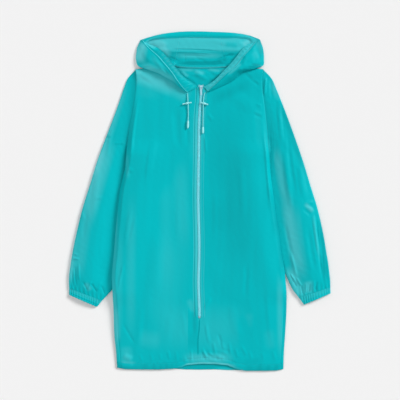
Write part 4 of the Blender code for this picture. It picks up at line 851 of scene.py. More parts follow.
def make_sleeve(side, name, rows, folds, cloth, look):
    """A one-piece sleeve laid flat: rings from the cuff seam to the armhole, creased on both sides."""
    ox, oy, nx, ny, bow, edge, crest_at, crest, groove_at, groove, inner = resample(rows, SLEEVE_RINGS)[..., None]
    share, upper = ring_places(*SLEEVE_ROUND)
    gap = np.where(upper > 0.5, 2.0 * SEAM, 4.0 * SEAM)
    x = ox + (nx - ox) * share + bow * armhole_bow(side, share, gap)
    y = oy + (ny - oy) * share
    top = section_height(share, edge, crest_at, crest, groove_at, groove, inner)
    width = np.hypot(nx - ox, ny - oy)
    along = np.hypot(ox - ox[0], oy - oy[0])
    crease = 1.5 * creases(x, y, folds) + 1.5 * crumple(x + 90.0, y) + 0.6 * fine_folds(x, y)
    crease = crease + 0.4 * drape(share * width + side * 70.0, along - 60.0)
    seam = np.hypot(x - x[:1], y - y[:1])
    gathers = ripple(share * width, 13.0, 0.35) * np.exp(-seam / 11.0) * both_ends(share, 0.04)
    gathers = gathers * (0.15 + 0.85 * ease(seam / 5.0))
    hidden = ease((side_x(side, y) * side - x * side + 3.0) / 8.0)
    top = top + (crease + 1.5 * gathers) * (1.0 - 0.9 * hidden)
    ends = np.hypot(x - x[-1:], y - y[-1:])
    seat = front_height(side_x(side, y[-1:]), y[-1:]) - CLOTH - 1.0
    top = top + np.maximum(seat - top[-1:], 0.0) * ease(1.0 - ends / 13.0) * ease((1.0 - share) * width / 12.0)
    z = rounded(share, width, upper, edge, inner, top)
    under = creases(x, y, UNDER_SLEEVE[name]) + 0.5 * gathers.clip(0.0)
    z = z + np.where(upper > 0.5, 0.0, np.maximum(under, 0.0) * bump(2.0 * share - 1.0))
    outer = points_at(x, y, z)
    # Painted light and shade from the sleeves' table, and painted shade beside the armhole on the upper side
    tone = creases(x, y, SLEEVE_PAINTED_SHADING) - 1.9 * seam_and_painted_shade(side, x, y) * upper
    inner = let_down(outer, cloth.thickness / MM, UPPER_SIDE, True)
    return add_cloth(name, outer, inner, look, ring=True, tone=tone)


def seam_and_painted_shade(side, x, y):
    """A sleeve is deeper beside the armhole, where its seam lies double, and has painted shade where it goes under the
    body's edge.
    """
    off = side * (x - side_x(side, y))
    width, depth = (30.0, 0.85) if side < 0 else (16.0, 0.5)
    return depth * ease(1.0 - off / width) * ease((y - 40.0) / 60.0)


def make_cuff(name, seam_row, end_row, look):
    """An elastic cuff: a flat tube ribbed by its elastic, ribs fading at the sleeve's seam."""
    ox, oy, nx, ny = seam_row[:4]
    ex, ey, fx, fy = end_row
    length = math.hypot(ex - ox, ey - oy)
    gap = CUFF_GAP / length
    step = shares((1.0, CUFF_RINGS))[:, None] * (1.0 - gap) + gap
    share, upper = ring_places(*CUFF_ROUND)
    px, py = ox + (ex - ox) * step, oy + (ey - oy) * step
    qx, qy = nx + (fx - nx) * step, ny + (fy - ny) * step
    width = np.hypot(qx - px, qy - py)
    ribs = ripple(share * width, 7.8, 1.1) * (0.75 + 0.25 * np.sin(share * width / 17.0 + ex))
    lines = np.cos(2.0 * math.pi * 3.0 * (step - 0.08))
    top = CUFF_EDGE + (CUFF_HEIGHT - CUFF_EDGE) * np.sin(math.pi * share)
    inset = both_ends(share, 0.05) * (0.15 + 0.85 * ease(step * length / 4.0))
    top = top + (0.8 * ribs - 0.2 * lines + 0.7 * bump((step - 0.95) / 0.16)) * inset
    edge = np.full_like(step, CUFF_EDGE)
    z = rounded(share, width, upper, edge, edge, top)
    z = z + np.where(upper > 0.5, 0.0, 0.5 * np.maximum(ribs, 0.0) * inset)
    wave = 0.5 * ripple(share * width + 4.0, 9.0, 0.4) * ease((step - 0.6) / 0.4)
    x = px + (qx - px) * share + wave * (ex - ox) / length
    y = py + (qy - py) * share + wave * (ey - oy) / length
    outer = points_at(x, y, z)
    # Pale cuffs, painted light and shade on the ribs of the upper side, and painted shade towards the cuff's end,
    # stronger on the left
    tone = 0.4 + 0.2 * ribs * upper - (0.7 - 0.3 * np.sign(ex)) * ease((step - 0.3) / 0.6)
    return add_cloth(name, outer, let_down(outer, CUFF_WALL, UPPER_SIDE, True), look, ring=True, tone=tone)


# ---------------------------------------------------------------- hood

def single_layer_and_light(x, y):
    """Paler where one layer lies alone on the surface, with painted light on that band: the upper part of the hood's
    inside.
    """
    return ease((y - 444.0) / 12.0) * (1.0 - 0.4 * ease((x - 90.0) / 60.0))


def crown_bow(x, share):
    """What bends the hood's first rows from straight lines between its corners to its curved top edge."""
    bend = 1.0 - ease(share / CROWN_ZONE)
    return bend * (arc_y(x) - np.interp(x, CORNERS_X, CORNERS_Y))


def hood_side_grid(rows, count=130):
    """Outer points of a hood side: out along what it lies on, round a half circle at the outer fold, and
    back up a sine to the opening edge, where a bead stands over the drawcord."""
    gx, gy, fx, fy, ex, ey, radius, crest = resample(rows, count)[:8]
    radius = radius * FOLD_SHARE
    at = np.linspace(0.0, 1.0, count)[:, None]
    seam, fold, edge = (np.stack(pair, axis=1)[:, None, :] for pair in ((gx, gy), (fx, fy), (ex, ey)))
    out = unit(fold - 0.5 * (seam + edge))
    radius = radius[:, None]
    heel = fold - out * radius[..., None]
    base = below_hood(heel[..., 0], heel[..., 1])
    floor = shares((0.7, 26), (0.97, 14))
    turn = shares((1.0, 12)) - 0.5
    wing = shares((0.3, 12), (0.8, 26), (1.0, 20))[1:]
    low = seam + (heel - seam) * floor[None, :, None]
    bent = low[..., 1] + crown_bow(low[..., 0], at)
    low_z = hood_inside(low[..., 0], bent)
    low_z = low_z + (base - low_z) * ease((floor[None, :] - 0.8) / 0.17)
    angle = math.pi * turn[None, :]
    round_ = heel + out * (radius * np.cos(angle))[..., None]
    round_z = base + radius + radius * np.sin(angle)
    top = heel + (edge - heel) * wing[None, :, None]
    start = base + 2.0 * radius
    reach = np.linalg.norm(edge - heel, axis=2)
    left = (1.0 - wing[None, :]) * reach
    top_z = start + (crest[:, None] - start) * np.sin(0.5 * math.pi * np.minimum(wing / 0.94, 1.0))
    top_z = top_z + 0.9 * bump((left - 3.0) / 3.4) - 1.6 * ease(1.0 - left / 2.6)
    folds = creases(top[..., 0], top[..., 1], WING_CREASES) + 0.6 * crumple(top[..., 0], top[..., 1] + 40.0)
    folds = folds + fine_folds(top[..., 0], top[..., 1])
    top_z = top_z + folds * ease(wing / 0.25) * ease((left - 1.0) / 9.0) * ease((reach - 8.0) / 20.0)
    flat = np.concatenate([low, round_, top], axis=1)
    z = np.concatenate([low_z, round_z, top_z], axis=1)
    return points_at(flat[..., 0], flat[..., 1] + crown_bow(flat[..., 0], at), z)


def make_hood_side(name, rows, cloth, look):
    """One hood side panel, sewn to the middle panel and to the neck. Its first columns face down, so its
    inner side is let up from them."""
    outer = hood_side_grid(rows)
    inner = let_down(outer, -cloth.thickness / MM, slice(2, 20))
    reach = np.linalg.norm(outer - outer[:, -1:], axis=2)
    x, y = outer[..., 0], outer[..., 1]
    # Inside the hood, a paler single layer with painted light and shade from the inside's table; on the wing, painted
    # light and shade from the wings' table
    inside_tone_and_light = single_layer_and_light(x, y) + creases(x, y, INNER_PAINTED_SHADING)
    tone = np.where(np.arange(outer.shape[1]) < WING_FROM, inside_tone_and_light, creases(x, y, WING_PAINTED_SHADING))
    # A painted shadow a little inside the opening edge, and a painted highlight along the bead at the edge
    tone = tone - 0.6 * ease((9.0 - reach) / 2.0) + 2.4 * ease((4.0 - reach) / 1.5)
    return add_cloth(name, outer, inner, look, tone=tone)


def make_hood_centre(cloth, look):
    """The hood's middle panel, from the back of the neck to the crown edge."""
    at = np.linspace(0.0, 0.5, 90)
    places = np.arange(len(LEFT_HOOD), dtype=float)
    x0, y0, x1, y1 = (read(at * places[-1], places, column)[:, None] for column in
                      (*columns(LEFT_HOOD)[:2], *columns(RIGHT_HOOD)[:2]))
    x0, x1 = x0 + 0.5 * SEAM, x1 - 0.5 * SEAM
    share = shares((1.0, 70))[None, :]
    x = x0 + (x1 - x0) * share
    y = y0 + (y1 - y0) * share + crown_bow(x, at[:, None])
    neck = top_y(x) - NECK_TURN
    y = y + (neck - y[-1:]) * ease((at[:, None] - 0.40) / 0.10) * both_ends(share, 0.07)
    low = hood_inside(x, y)
    # Paler where one layer lies alone, with painted light, and painted light and shade from the table of the hood's
    # inside
    tone = single_layer_and_light(x, y) + creases(x, y, INNER_PAINTED_SHADING)
    return add_cloth("hood_centre", points_at(x, y, low + cloth.thickness / MM), points_at(x, y, low), look, tone=tone)


def casing_wing(rows):
    """The casing's points under one wing's opening edge, crown corner first."""
    _, _, fx, fy, ex, ey, _, crest, cx, cy, low = resample(rows, HOOD_ROWS)
    fold, edge, inner = (np.stack(pair, axis=1) for pair in ((fx, fy), (ex, ey), (cx, cy)))
    run = np.linalg.norm(fold - edge, axis=1, keepdims=True)
    start = edge + unit(fold - edge) * np.minimum(CASING_TUCK, 0.2 * run)
    start_z = crest - 2.0 * CLOTH - 2.0 * SEAM - 1.4
    share = np.array((0.0, 0.5, 1.0))
    flat = start[:, None, :] + (inner - start)[:, None, :] * share[None, :, None]
    z = start_z[:, None] + (low - start_z)[:, None] * share[None, :] ** 1.3
    return np.concatenate([flat, z[..., None]], axis=2)


def casing_grid():
    """The casing's middle lines from the left wing's foot, round the crown, to the right wing's foot."""
    x = np.linspace(-150.0, 148.0, CROWN_ROWS)
    out_y = arc_y(x) - 1.2
    slope = (arc_y(x + 12.0) - arc_y(x - 12.0)) / 24.0
    share = np.array((0.0, 0.5, 1.0))[None, :]
    width = CASING_WIDTH * (1.0 - 0.4 * ease((np.abs(x) - 60.0) / 90.0))[:, None]
    px = x[:, None] + slope[:, None] * width * share
    py = out_y[:, None] - width * share
    top = points_at(px, py, hood_inside(px, py) + CLOTH + 3.5 * SEAM)
    return np.concatenate([casing_wing(LEFT_HOOD)[::-1], top, casing_wing(RIGHT_HOOD)])


def casing_surface():
    """The casing's upper side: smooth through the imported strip's points, puffed over the cord, grooved at
    its inner stitches and puckered along them."""
    coarse = casing_grid()
    count = 420
    at = np.linspace(0.0, len(coarse) - 1.0, count)
    places = np.arange(len(coarse), dtype=float)
    ends, share = np.arange(3.0), shares((1.0, 14))
    rows = np.stack([[read(at, places, coarse[:, k, i]) for i in range(3)] for k in range(3)])
    weight = np.stack([read(share * 2.0, ends, row) for row in np.eye(3)])
    grid = np.einsum("kir,kc->rci", rows, weight)
    middle = run_along(grid[:, 7])[:, None]
    wing = ease(np.abs(at[:, None] - CASING_MIDDLE) / 6.0 - 0.6)
    puff = 0.7 * bump((share - 0.45) / 0.5)
    groove = -0.7 * bump((share - CASING_STITCH) / 0.07)
    pucker = ripple(middle, 12.0, 0.9) * (0.2 + 0.15 * wing) * bump((share - 0.62) / 0.42)
    top = 1.0 - ease((np.abs(at[:, None] - CASING_MIDDLE) - 5.0) / 2.0)
    grid[..., 2] += puff + groove + pucker - 0.8 * top * ease((share - 0.6) / 0.4)
    return grid + np.array((0.0, 0.0, CLOTH)), at, share, middle


def make_casing(cloth, look):
    """One strip round the hood's opening: deeper at the crown and speckled beside the neck, with painted light and
    shade along the rest.
    """
    upper, at, share, middle = casing_surface()
    right = ease((at[:, None] - 24.0) / 3.0)
    left = ease((16.0 - at[:, None]) / 3.0)
    slant = np.sin(share * 5.0 + middle / 7.0 + 2.0 * ripple(middle, 23.0, 1.0))
    speckle = 0.4 * ripple(middle, 7.0, 2.1) * slant * (left + right)
    corner = ease((np.abs(at[:, None] - CASING_MIDDLE) - 2.0) / 4.0) * (1.0 - left) * (1.0 - right)
    foot = ease((7.0 - at[:, None]) / 5.0)
    inner = 2.6 * ease((share - 0.3) / 0.2) * ease((at[:, None] - 10.5) / 1.5)
    # Painted shade along the left wing's outer part, and painted light on its inner part, at the left foot, along the
    # right wing and towards the crown's corners
    tone = -0.2 - left * (1.2 - inner) + foot * 1.4 + right * 1.1 + corner * 0.9 + speckle
    return add_cloth("hood_casing", upper, let_down(upper, cloth.thickness / MM), look, tone=tone)


def binding_surface():
    """The binding's two sides: a low roll over the neck seam, grooved along both edges."""
    up = shares((1.0, 12)) * BINDING_WIDTH
    share, up = np.meshgrid(shares((1.0, 90)), up, indexing="ij")
    x = BINDING_X[0] + (BINDING_X[1] - BINDING_X[0]) * share
    edge = top_y(x) - NECK_TURN
    y = edge - NECK_TURN + up
    over = hood_inside(x, np.maximum(y, edge)) + CLOTH + 2.4 * SEAM
    low = CLOTH + SEAM + (over - CLOTH - SEAM) * ease(up / 2.4)
    low = np.maximum(low, back_height(x, y) + SEAM * ease((2.6 - up) / 2.0))
    high = low + 0.4 + (0.5 + 0.2 * ripple(x, 14.0, 0.8)) * bump((up - 5.4) / 4.6)
    high = high - 0.2 * sum(bump((up - place) / 0.9) for place in BINDING_STITCHES)
    return points_at(x, y, high), points_at(x, y, low), up


def make_binding(look):
    """The narrow strip over the seam between the back and the hood."""
    outer, inner, up = binding_surface()
    # A painted highlight along the binding's lower edge, and painted shade on its upper part
    return add_cloth("neck_binding", outer, inner, look, tone=0.9 - 1.2 * ease((up - 3.0) / 3.0))


# ---------------------------------------------------------------- zip

def zip_floor(y):
    """Height of the fronts' underside along the zip."""
    return front_height(zip_x(y), y) - CLOTH


def make_tape(side, name, look):
    """One zip tape under its front's edge, spread round the slider's post at the top."""
    y = np.linspace(ZIP_END_Y - 5.0, TAPE_TOP_Y, 300)[:, None]
    share = np.linspace(0.0, 1.0, 7)[None, :]
    inner = 0.5 * SEAM + 2.0 * ease((y - 336.0) / 5.5)
    outer = 14.0 - 6.0 * ease((y - 334.0) / 14.0)
    x = zip_x(y) + side * (inner + (outer - inner) * share)
    low = zip_floor(y) - SEAM - TAPE_WALL
    return add_cloth(name, points_at(x, y, low + TAPE_WALL), points_at(x, y, low), look)


def make_teeth(look):
    """The zip's closed teeth: blocks from both sides by turns, on a low ridge down the middle."""
    y = np.arange(ZIP_END_Y + 8.2, 339.4, TOOTH_PITCH / 2.0)
    side = np.where(np.arange(len(y)) % 2 == 0, 1.0, -1.0)
    place = points_at(zip_x(y), y, zip_floor(y) + 0.3)
    teeth = TOOTH * points_at(side, 1.0, 1.0)[:, None, :] + place[:, None, :]
    faces = BLOCK_FACES + len(TOOTH) * np.arange(len(y))[:, None, None]
    faces[side < 0] = faces[side < 0][:, :, ::-1]
    along = np.linspace(ZIP_END_Y + 7.4, 340.0, 280)[:, None]
    share = np.linspace(-1.0, 1.0, 7)[None, :]
    low = zip_floor(along)
    high = low + 0.5 + 0.7 * np.sqrt(np.maximum(1.0 - share ** 2, 0.0))
    ridge = np.stack([points_at(zip_x(along) + 3.6 * share, along, z) for z in (high, low)]).reshape(-1, 3)
    ridge = ridge, outward(ridge, wall_faces(len(along), share.size, False))
    return add_part("zip_chain", *together([(teeth.reshape(-1, 3), faces.reshape(-1, 4)), ridge]), look)


def capped(rings):
    """A closed shape through rings of points, each end ring closed from side to side."""
    rows, count = rings.shape[:2]
    k = np.arange(count // 2 - 1)
    end = np.stack([k, k + 1, count - 2 - k, count - 1 - k], axis=1)
    faces = np.concatenate([grid_quads(rows, count, True), end, end[:, ::-1] + (rows - 1) * count])
    points = rings.reshape(-1, 3)
    return points, outward(points, faces)


def looped(rings):
    """A closed shape through rings of points, the last of which meets the first."""
    rows, count = rings.shape[:2]
    points = rings.reshape(-1, 3)
    return points, outward(points, grid_quads(rows + 1, count, True) % (rows * count))


def around(count, start=0.0):
    """Even angles round a circle."""
    return 2.0 * math.pi * (np.arange(count) + start) / count


def plate(outline, low, high, round_):
    """A flat plate with rounded edges: its outline at four heights, drawn in by round_ at both faces, and
    closed over by shrinking rings."""
    away = outline - outline.mean(axis=0)
    size = np.linalg.norm(away, axis=1, keepdims=True)
    rings = []
    for inset, height in ((0.7, 0.0), (0.0, 0.0), (0.0, 0.3), (0.0, 0.7), (0.0, 1.0), (0.7, 1.0)):
        draw = round_ if height in (0.0, 1.0) else 0.0
        ring = outline.mean(axis=0) + unit(away) * np.maximum(size * (1.0 - inset) - draw, 0.02)
        rings.append(points_at(*ring.T, low + (high - low) * height))
    return capped(np.stack(rings))


def tapered_outline(x, y0, y1, half0, half1, corner, count=32):
    """A rounded outline narrower at one end: a superellipse whose half-width runs from half0 to half1."""
    angle = around(count, 0.5)
    sx, sy = (np.sign(c) * np.abs(c) ** corner for c in (np.cos(angle), np.sin(angle)))
    along = 0.5 * (sy + 1.0)
    return np.column_stack([x + sx * (half0 + (half1 - half0) * along), y0 + (y1 - y0) * along])


def tube(path, radius, sides):
    """A closed tube along a path, its radius one number or one for each point: rings square to the path."""
    run = unit(np.gradient(path, axis=0))
    hint = (0.0, 0.0, 1.0) if abs(run[:, 2]).max() < 0.9 else (1.0, 0.0, 0.0)
    across = unit(np.cross(run, hint))[:, None, :]
    up = np.cross(across, run[:, None, :])
    angle = around(sides)[None, :, None]
    circle = np.cos(angle) * across + np.sin(angle) * up
    return capped(path[:, None, :] + circle * np.broadcast_to(radius, len(path))[:, None, None])


def together(parts):
    """Several shapes as one: their points in a row, and their faces counted on."""
    points, faces, count = [], [], 0
    for p, f in parts:
        points.append(p)
        faces.append(f + count)
        count += len(p)
    return np.concatenate(points), np.concatenate(faces)


def node_box(name):
    """A solid's lowest and highest corners, in the tables' millimetres."""
    return [np.array(corner) / MM + (*CENTRE, 0.0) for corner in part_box(name)]


def make_slider(look):
    """The slider: two rounded plates on a post, and two lugs that hold the pull tab's pin."""
    x, y, z = PIN
    (_, y0, low), (_, y1, _) = node_box("zip_slider")
    outline = tapered_outline(x, y0, y1, 3.8, 5.2, 0.45)
    post = tapered_outline(x, y1 - 4.2, y1 - 0.5, 1.3, 1.3, 0.7, 16)
    lug = tapered_outline(y, PLATE_TOP - 0.3, z + 1.2, 1.9, 1.3, 0.6, 20)
    parts = [plate(outline, PLATE_LOW, PLATE_TOP, 0.4), plate(outline, low, low + 1.2, 0.3),
             plate(post, low + 0.9, PLATE_LOW + 0.3, 0.1)]
    for middle in (x - 3.25, x + 3.25):
        points, faces = plate(lug, middle - 0.62, middle + 0.62, 0.15)
        parts.append((points[:, [2, 0, 1]], faces))
    parts.append(tube(points_at(np.linspace(x - 3.2, x + 3.2, 6), y, z), 0.7, 14))
    return add_part("zip_slider", *together(parts), look, angle=40.0)


def make_tab(look):
    """The pull tab: a ring round the pin and a grip with a raised border, lying down over the teeth."""
    low, _ = node_box("pull_tab")
    length = PIN[1] - low[1]
    slope = math.asin((PIN[2] - low[2] - 0.5) / length)
    reach, place = EYE_PROFILE.T
    angle, turn = around(28)[:, None], around(8)
    eye = looped(points_at(place, np.cos(angle) * reach, np.sin(angle) * reach))
    grip = plate(tapered_outline(0.0, -length, -1.5, 2.2, 1.7, 0.5), -0.35, 0.35, 0.12)
    line = tapered_outline(0.0, -length + 0.35, -1.85, 1.85, 1.35, 0.5, 40)
    flat = line[:, None, :] + unit(line - line.mean(axis=0))[:, None, :] * 0.35 * np.cos(turn)[None, :, None]
    border = looped(points_at(flat[..., 0], flat[..., 1], 0.5 * np.sin(turn)))
    points, faces = together([grip, border])
    x, y, z = points.T
    leant = points_at(x, y * math.cos(slope) + z * math.sin(slope), y * math.sin(slope) + z * math.cos(slope))
    points, faces = together([(leant, faces), eye])
    return add_part("pull_tab", points + PIN, faces, look, body="pull_tab", angle=40.0)


def make_bottom_stop(look):
    """The stop that ends the zip's chain: a rounded metal block folded over both tapes."""
    low, high = node_box("zip_bottom_stop")
    outline = tapered_outline(float(zip_x(ZIP_END_Y)), low[1], high[1], 2.6, 2.6, 0.35, 24)
    return add_part("zip_bottom_stop", *plate(outline, low[2], high[2], 0.3), look, angle=40.0)


# ---------------------------------------------------------------- drawcord

def route(rows):
    """A cord's knots: its table's points, with heights measured from the fronts' upper side."""
    x, y, up = columns(rows)
    return points_at(x, y, front_height(x, y) + up)


def smooth_route(rows, count):
    """The same line as a smooth curve of count points."""
    knots = route(rows)
    places = np.arange(len(knots), dtype=float)
    at = np.linspace(0.0, places[-1], count)
    return np.stack([read(at, places, knots[:, i]) for i in range(3)], axis=1)


def make_cord(name, rows, look):
    """One free end of the drawcord: a round braided tube whose pattern runs along it."""
    path = smooth_route(rows, 36)
    radius = np.full(len(path), CORD_RADIUS)
    radius[[0, -1]] *= 0.8
    girth = np.linspace(0.0, 2.0 * math.pi * CORD_RADIUS, CORD_SIDES)
    uv = np.stack(np.meshgrid(girth, run_along(path)), axis=-1).reshape(-1, 2)
    return add_part(name, *tube(path, radius, CORD_SIDES), look, uv=uv), path


def make_stopper(name, ends, rows, look):
    """A cord stopper: a waisted bar with a hub in its middle, and a bore where the cord goes through."""
    knots = route(rows)
    x0, y0, x1, y1 = ends
    length = math.hypot(x1 - x0, y1 - y0)
    near = int(np.argmin(np.hypot(knots[:, 0] - 0.5 * (x0 + x1), knots[:, 1] - 0.5 * (y0 + y1))))
    at = np.linspace(0.0, 1.0, 60)
    half = abs(at - 0.5) * length
    radius = 1.75 + 1.7 * bump(half / 6.0) + 0.3 * bump((half - 0.5 * length + 2.2) / 2.2)
    radius = radius * roll((0.5 * length - half + 0.06) / 1.2)
    path = points_at(x0 + (x1 - x0) * at, y0 + (y1 - y0) * at, knots[near, 2])
    bar = add_mesh(name, *tube(path, radius, 24), look)
    run = unit(knots[near + 1] - knots[near - 1])
    bore = knots[near] + np.linspace(-9.0, 9.0, 6)[:, None] * run
    tool = add_mesh(name + "_bore", *tube(bore, CORD_RADIUS + 0.35, 24), look)
    cut = bar.modifiers.new("bore", "BOOLEAN")
    cut.operation, cut.solver, cut.object = "DIFFERENCE", "EXACT", tool
    shape = bpy.data.meshes.new_from_object(bar.evaluated_get(bpy.context.evaluated_depsgraph_get()))
    bar.modifiers.clear()
    bar.data = shape
    bpy.data.objects.remove(tool)
    shape.shade_smooth()
    shape.set_sharp_from_angle(angle=math.radians(50.0))
    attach(bar, "garment")
    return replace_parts(bar, name)


def make_tip(name, rows, length, look):
    """The drop-shaped tip on a cord's end: a turned profile, with a ring groove near its mouth."""
    knots = route(rows)
    run = unit(knots[-1] - knots[-2])
    run[2] = 0.0
    at = np.linspace(0.0, 1.0, 40)
    radius = read(at, *columns(TIP_PROFILE)) - 0.25 * bump((at - 0.14) / 0.035)
    path = knots[-1] + (2.0 * SEAM + at[:, None] * length) * run
    return add_part(name, *tube(path, radius, 24), look, angle=60.0)


# ---------------------------------------------------------------- stitching

def stitches(line, length=2.4, pitch=3.3, radius=0.3):
    """Threads along a line: a long eight-sided drop every pitch, half sunk in the cloth."""
    run = run_along(line)
    at = np.arange(0.5 * pitch, run[-1] - 0.5 * pitch, pitch)
    place, ahead = (points_at(*(np.interp(at + step, run, column) for column in line.T)) for step in (0.0, 0.5))
    way = unit(ahead - place)
    across = unit(np.cross(way, (0.0, 0.0, 1.0)))
    up = np.cross(across, way)
    corners = [-0.5 * length * way, radius * across, radius * up, -radius * across, -radius * up, 0.5 * length * way]
    points = np.stack([place + c for c in corners], axis=1).reshape(-1, 3)
    return points, (THREAD_FACES + len(corners) * np.arange(len(at))[:, None, None]).reshape(-1, 3)


def stitch_lines():
    """Lines of stitches over the panels: hems, both sides of the zip, casing and binding."""
    lines = []
    for side in (-1, 1):
        grid = front_grid(side)
        x, y = grid[..., 0], grid[..., 1]
        at_hem = np.argmin(np.abs(y - hem_y(x) - HEM_BAND), axis=0)
        lines.append(grid[at_hem, np.arange(grid.shape[1])])
        rows = np.arange(60, grid.shape[0] - 6)
        rows = rows[grid[rows, 0, 1] > ZIP_END_Y + 4.0]
        beside = np.argmin(np.abs(np.abs(x[rows] - zip_x(y[rows])) - PLACKET_STITCH), axis=1)
        lines.append(grid[rows, beside])
    casing, _, share, _ = casing_surface()
    lines.append(casing[6:-6, int(np.argmin(np.abs(share - CASING_STITCH)))])
    binding, _, up = binding_surface()
    for place in BINDING_STITCHES:
        lines.append(binding[:, int(np.argmin(np.abs(up[0] - place)))])
    return lines


def make_stitching(look):
    """All threads that show, as one piece."""
    points, faces = together([stitches(line + (0.0, 0.0, THREAD_LIFT)) for line in stitch_lines()])
    made = add_mesh("stitching", points, faces, look, smooth=False)
    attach(made, "garment")
    return made


# ---------------------------------------------------------------- materials

def new_group(name, amount, value, gives):
    """A node group that takes a vector and one amount, and what its nodes read from and write to."""
    group = bpy.data.node_groups.new(name, "ShaderNodeTree")
    group.interface.new_socket(name="Vector", in_out="INPUT", socket_type="NodeSocketVector")
    group.interface.new_socket(name=amount, in_out="INPUT", socket_type="NodeSocketFloat").default_value = value
    for title in gives:
        group.interface.new_socket(name=title, in_out="OUTPUT", socket_type="NodeSocketFloat")
    return group, group.nodes.new("NodeGroupInput").outputs, group.nodes.new("NodeGroupOutput").inputs


def new_look(name):
    """A material, its nodes and its shader."""
    look = bpy.data.materials.new(name)
    look.use_nodes = True
    return look, look.node_tree, look.node_tree.nodes["Principled BSDF"]


def wire(tree, *pairs):
    """Links, each from an output to an input."""
    for output, into in pairs:
        tree.links.new(output, into)


def settings(made, **values):
    """A node with its unlinked inputs set by name."""
    for key, value in values.items():
        made.inputs[key.replace("_", " ")].default_value = value
    return made


def maths(tree, operation, *values):
    """A math node: each input is a number or another node's output."""
    made = tree.nodes.new("ShaderNodeMath")
    made.operation = operation
    for socket, value in zip(made.inputs, values):
        if isinstance(value, (int, float)):
            socket.default_value = value
        else:
            tree.links.new(value, socket)
    return made.outputs[0]


def clamped(output):
    """A math node's output kept between 0 and 1."""
    output.node.use_clamp = True
    return output


def weave_group():
    """Plain weave: threads over and under by turns, as a height and a mask of the gaps between them."""
    group, given, put = new_group("Plain weave", "Threads per metre", 2500.0, ("Height", "Gaps"))
    parts = group.nodes.new("ShaderNodeSeparateXYZ")
    turn = maths(group, "MULTIPLY", given["Threads per metre"], math.pi)
    u, v = (maths(group, "SINE", maths(group, "MULTIPLY", parts.outputs[i], turn)) for i in range(2))
    over = maths(group, "MULTIPLY", u, v)
    wire(group, (given["Vector"], parts.inputs[0]), (maths(group, "MULTIPLY_ADD", over, 0.5, 0.5), put["Height"]),
         (maths(group, "SUBTRACT", 1.0, maths(group, "ABSOLUTE", over)), put["Gaps"]))


def crinkle_group():
    """Fine crinkles of coated nylon: two sizes of warped noise as a height, and slow clouds as a mask."""
    group, given, put = new_group("Fine crinkle", "Scale", 60.0, ("Height", "Clouds"))
    noises = []
    for share, values in ((1.0, {"Detail": 3.0, "Distortion": 0.8}),
                          (4.3, {"Detail": 2.0, "Roughness": 0.6, "Distortion": 0.4}), (0.16, {"Detail": 2.0})):
        made = settings(group.nodes.new("ShaderNodeTexNoise"), **values)
        wire(group, (given["Vector"], made.inputs["Vector"]),
             (maths(group, "MULTIPLY", given["Scale"], share), made.inputs["Scale"]))
        noises.append(made.outputs[0])
    coarse, fine, slow = noises
    wire(group, (maths(group, "MULTIPLY_ADD", fine, 0.25, coarse), put["Height"]), (slow, put["Clouds"]))


def placed(tree, title, vector, **values):
    """A node group in a material, its pattern laid by that vector, with its own values."""
    made = tree.nodes.new("ShaderNodeGroup")
    made.node_tree = bpy.data.node_groups[title]
    tree.links.new(vector, made.inputs["Vector"])
    return settings(made, **values).outputs


def raised(tree, height, strength, distance, over=None):
    """A bump from a height, over another bump where one is given."""
    made = settings(tree.nodes.new("ShaderNodeBump"), Strength=strength, Distance=distance)
    tree.links.new(height, made.inputs["Height"])
    if over:
        tree.links.new(over, made.inputs["Normal"])
    return made.outputs[0]


def along_cloth(tree):
    """The piece's own UV map, as a vector."""
    made = tree.nodes.new("ShaderNodeUVMap")
    made.uv_map = "cloth"
    return made.outputs[0]


def solid(colour, share=1.0):
    """A colour, or a darker share of it, with its alpha."""
    return tuple(share * c for c in colour) + (1.0,)


def mixed(tree, factor, a, b):
    """A colour mix: each colour is a tuple or an output."""
    made = tree.nodes.new("ShaderNodeMix")
    made.data_type = "RGBA"
    tree.links.new(factor, made.inputs["Factor"])
    for socket, value in ((made.inputs[6], a), (made.inputs[7], b)):
        if isinstance(value, tuple):
            socket.default_value = value
        else:
            tree.links.new(value, socket)
    return made.outputs[2]


def nylon(cloth):
    """Coated nylon: even teal, mixed by its tone towards a deeper colour for cloth lying double and for painted shade,
    and towards a paler one for lifted cloth and for painted light, with a plain weave and fine crinkles in its
    surface."""
    look, tree, shader = new_look("coated_nylon")
    weave = placed(tree, "Plain weave", along_cloth(tree), Threads_per_metre=1.0 / cloth.thread)
    place = tree.nodes.new("ShaderNodeTexCoord")
    crinkle = placed(tree, "Fine crinkle", place.outputs["Object"], Scale=55.0)
    tone = tree.nodes.new("ShaderNodeAttribute")
    tone.attribute_name = "tone"
    clouds = maths(tree, "MULTIPLY_ADD", crinkle["Clouds"], 0.3, -0.15)
    # The tone mixes in the double colour for cloth lying double and for painted shade, and the lifted colour for
    # lifted cloth and for painted light
    deeper = clamped(maths(tree, "MULTIPLY_ADD", tone.outputs["Fac"], -0.5, clouds))
    paler = clamped(maths(tree, "MULTIPLY", tone.outputs["Fac"], 0.5))
    even = mixed(tree, deeper, solid(cloth.colour), solid(cloth.double_and_shade_colour))
    small = raised(tree, weave["Height"], 0.25, 0.00006)
    wire(tree, (mixed(tree, paler, even, solid(cloth.lifted_and_light_colour)), shader.inputs["Base Color"]),
         (maths(tree, "MULTIPLY_ADD", crinkle["Clouds"], 0.12, cloth.roughness - 0.06), shader.inputs["Roughness"]),
         (raised(tree, crinkle["Height"], cloth.crinkle, 0.0006, small), shader.inputs["Normal"]))
    shader.inputs["Specular IOR Level"].default_value = 0.06
    return look


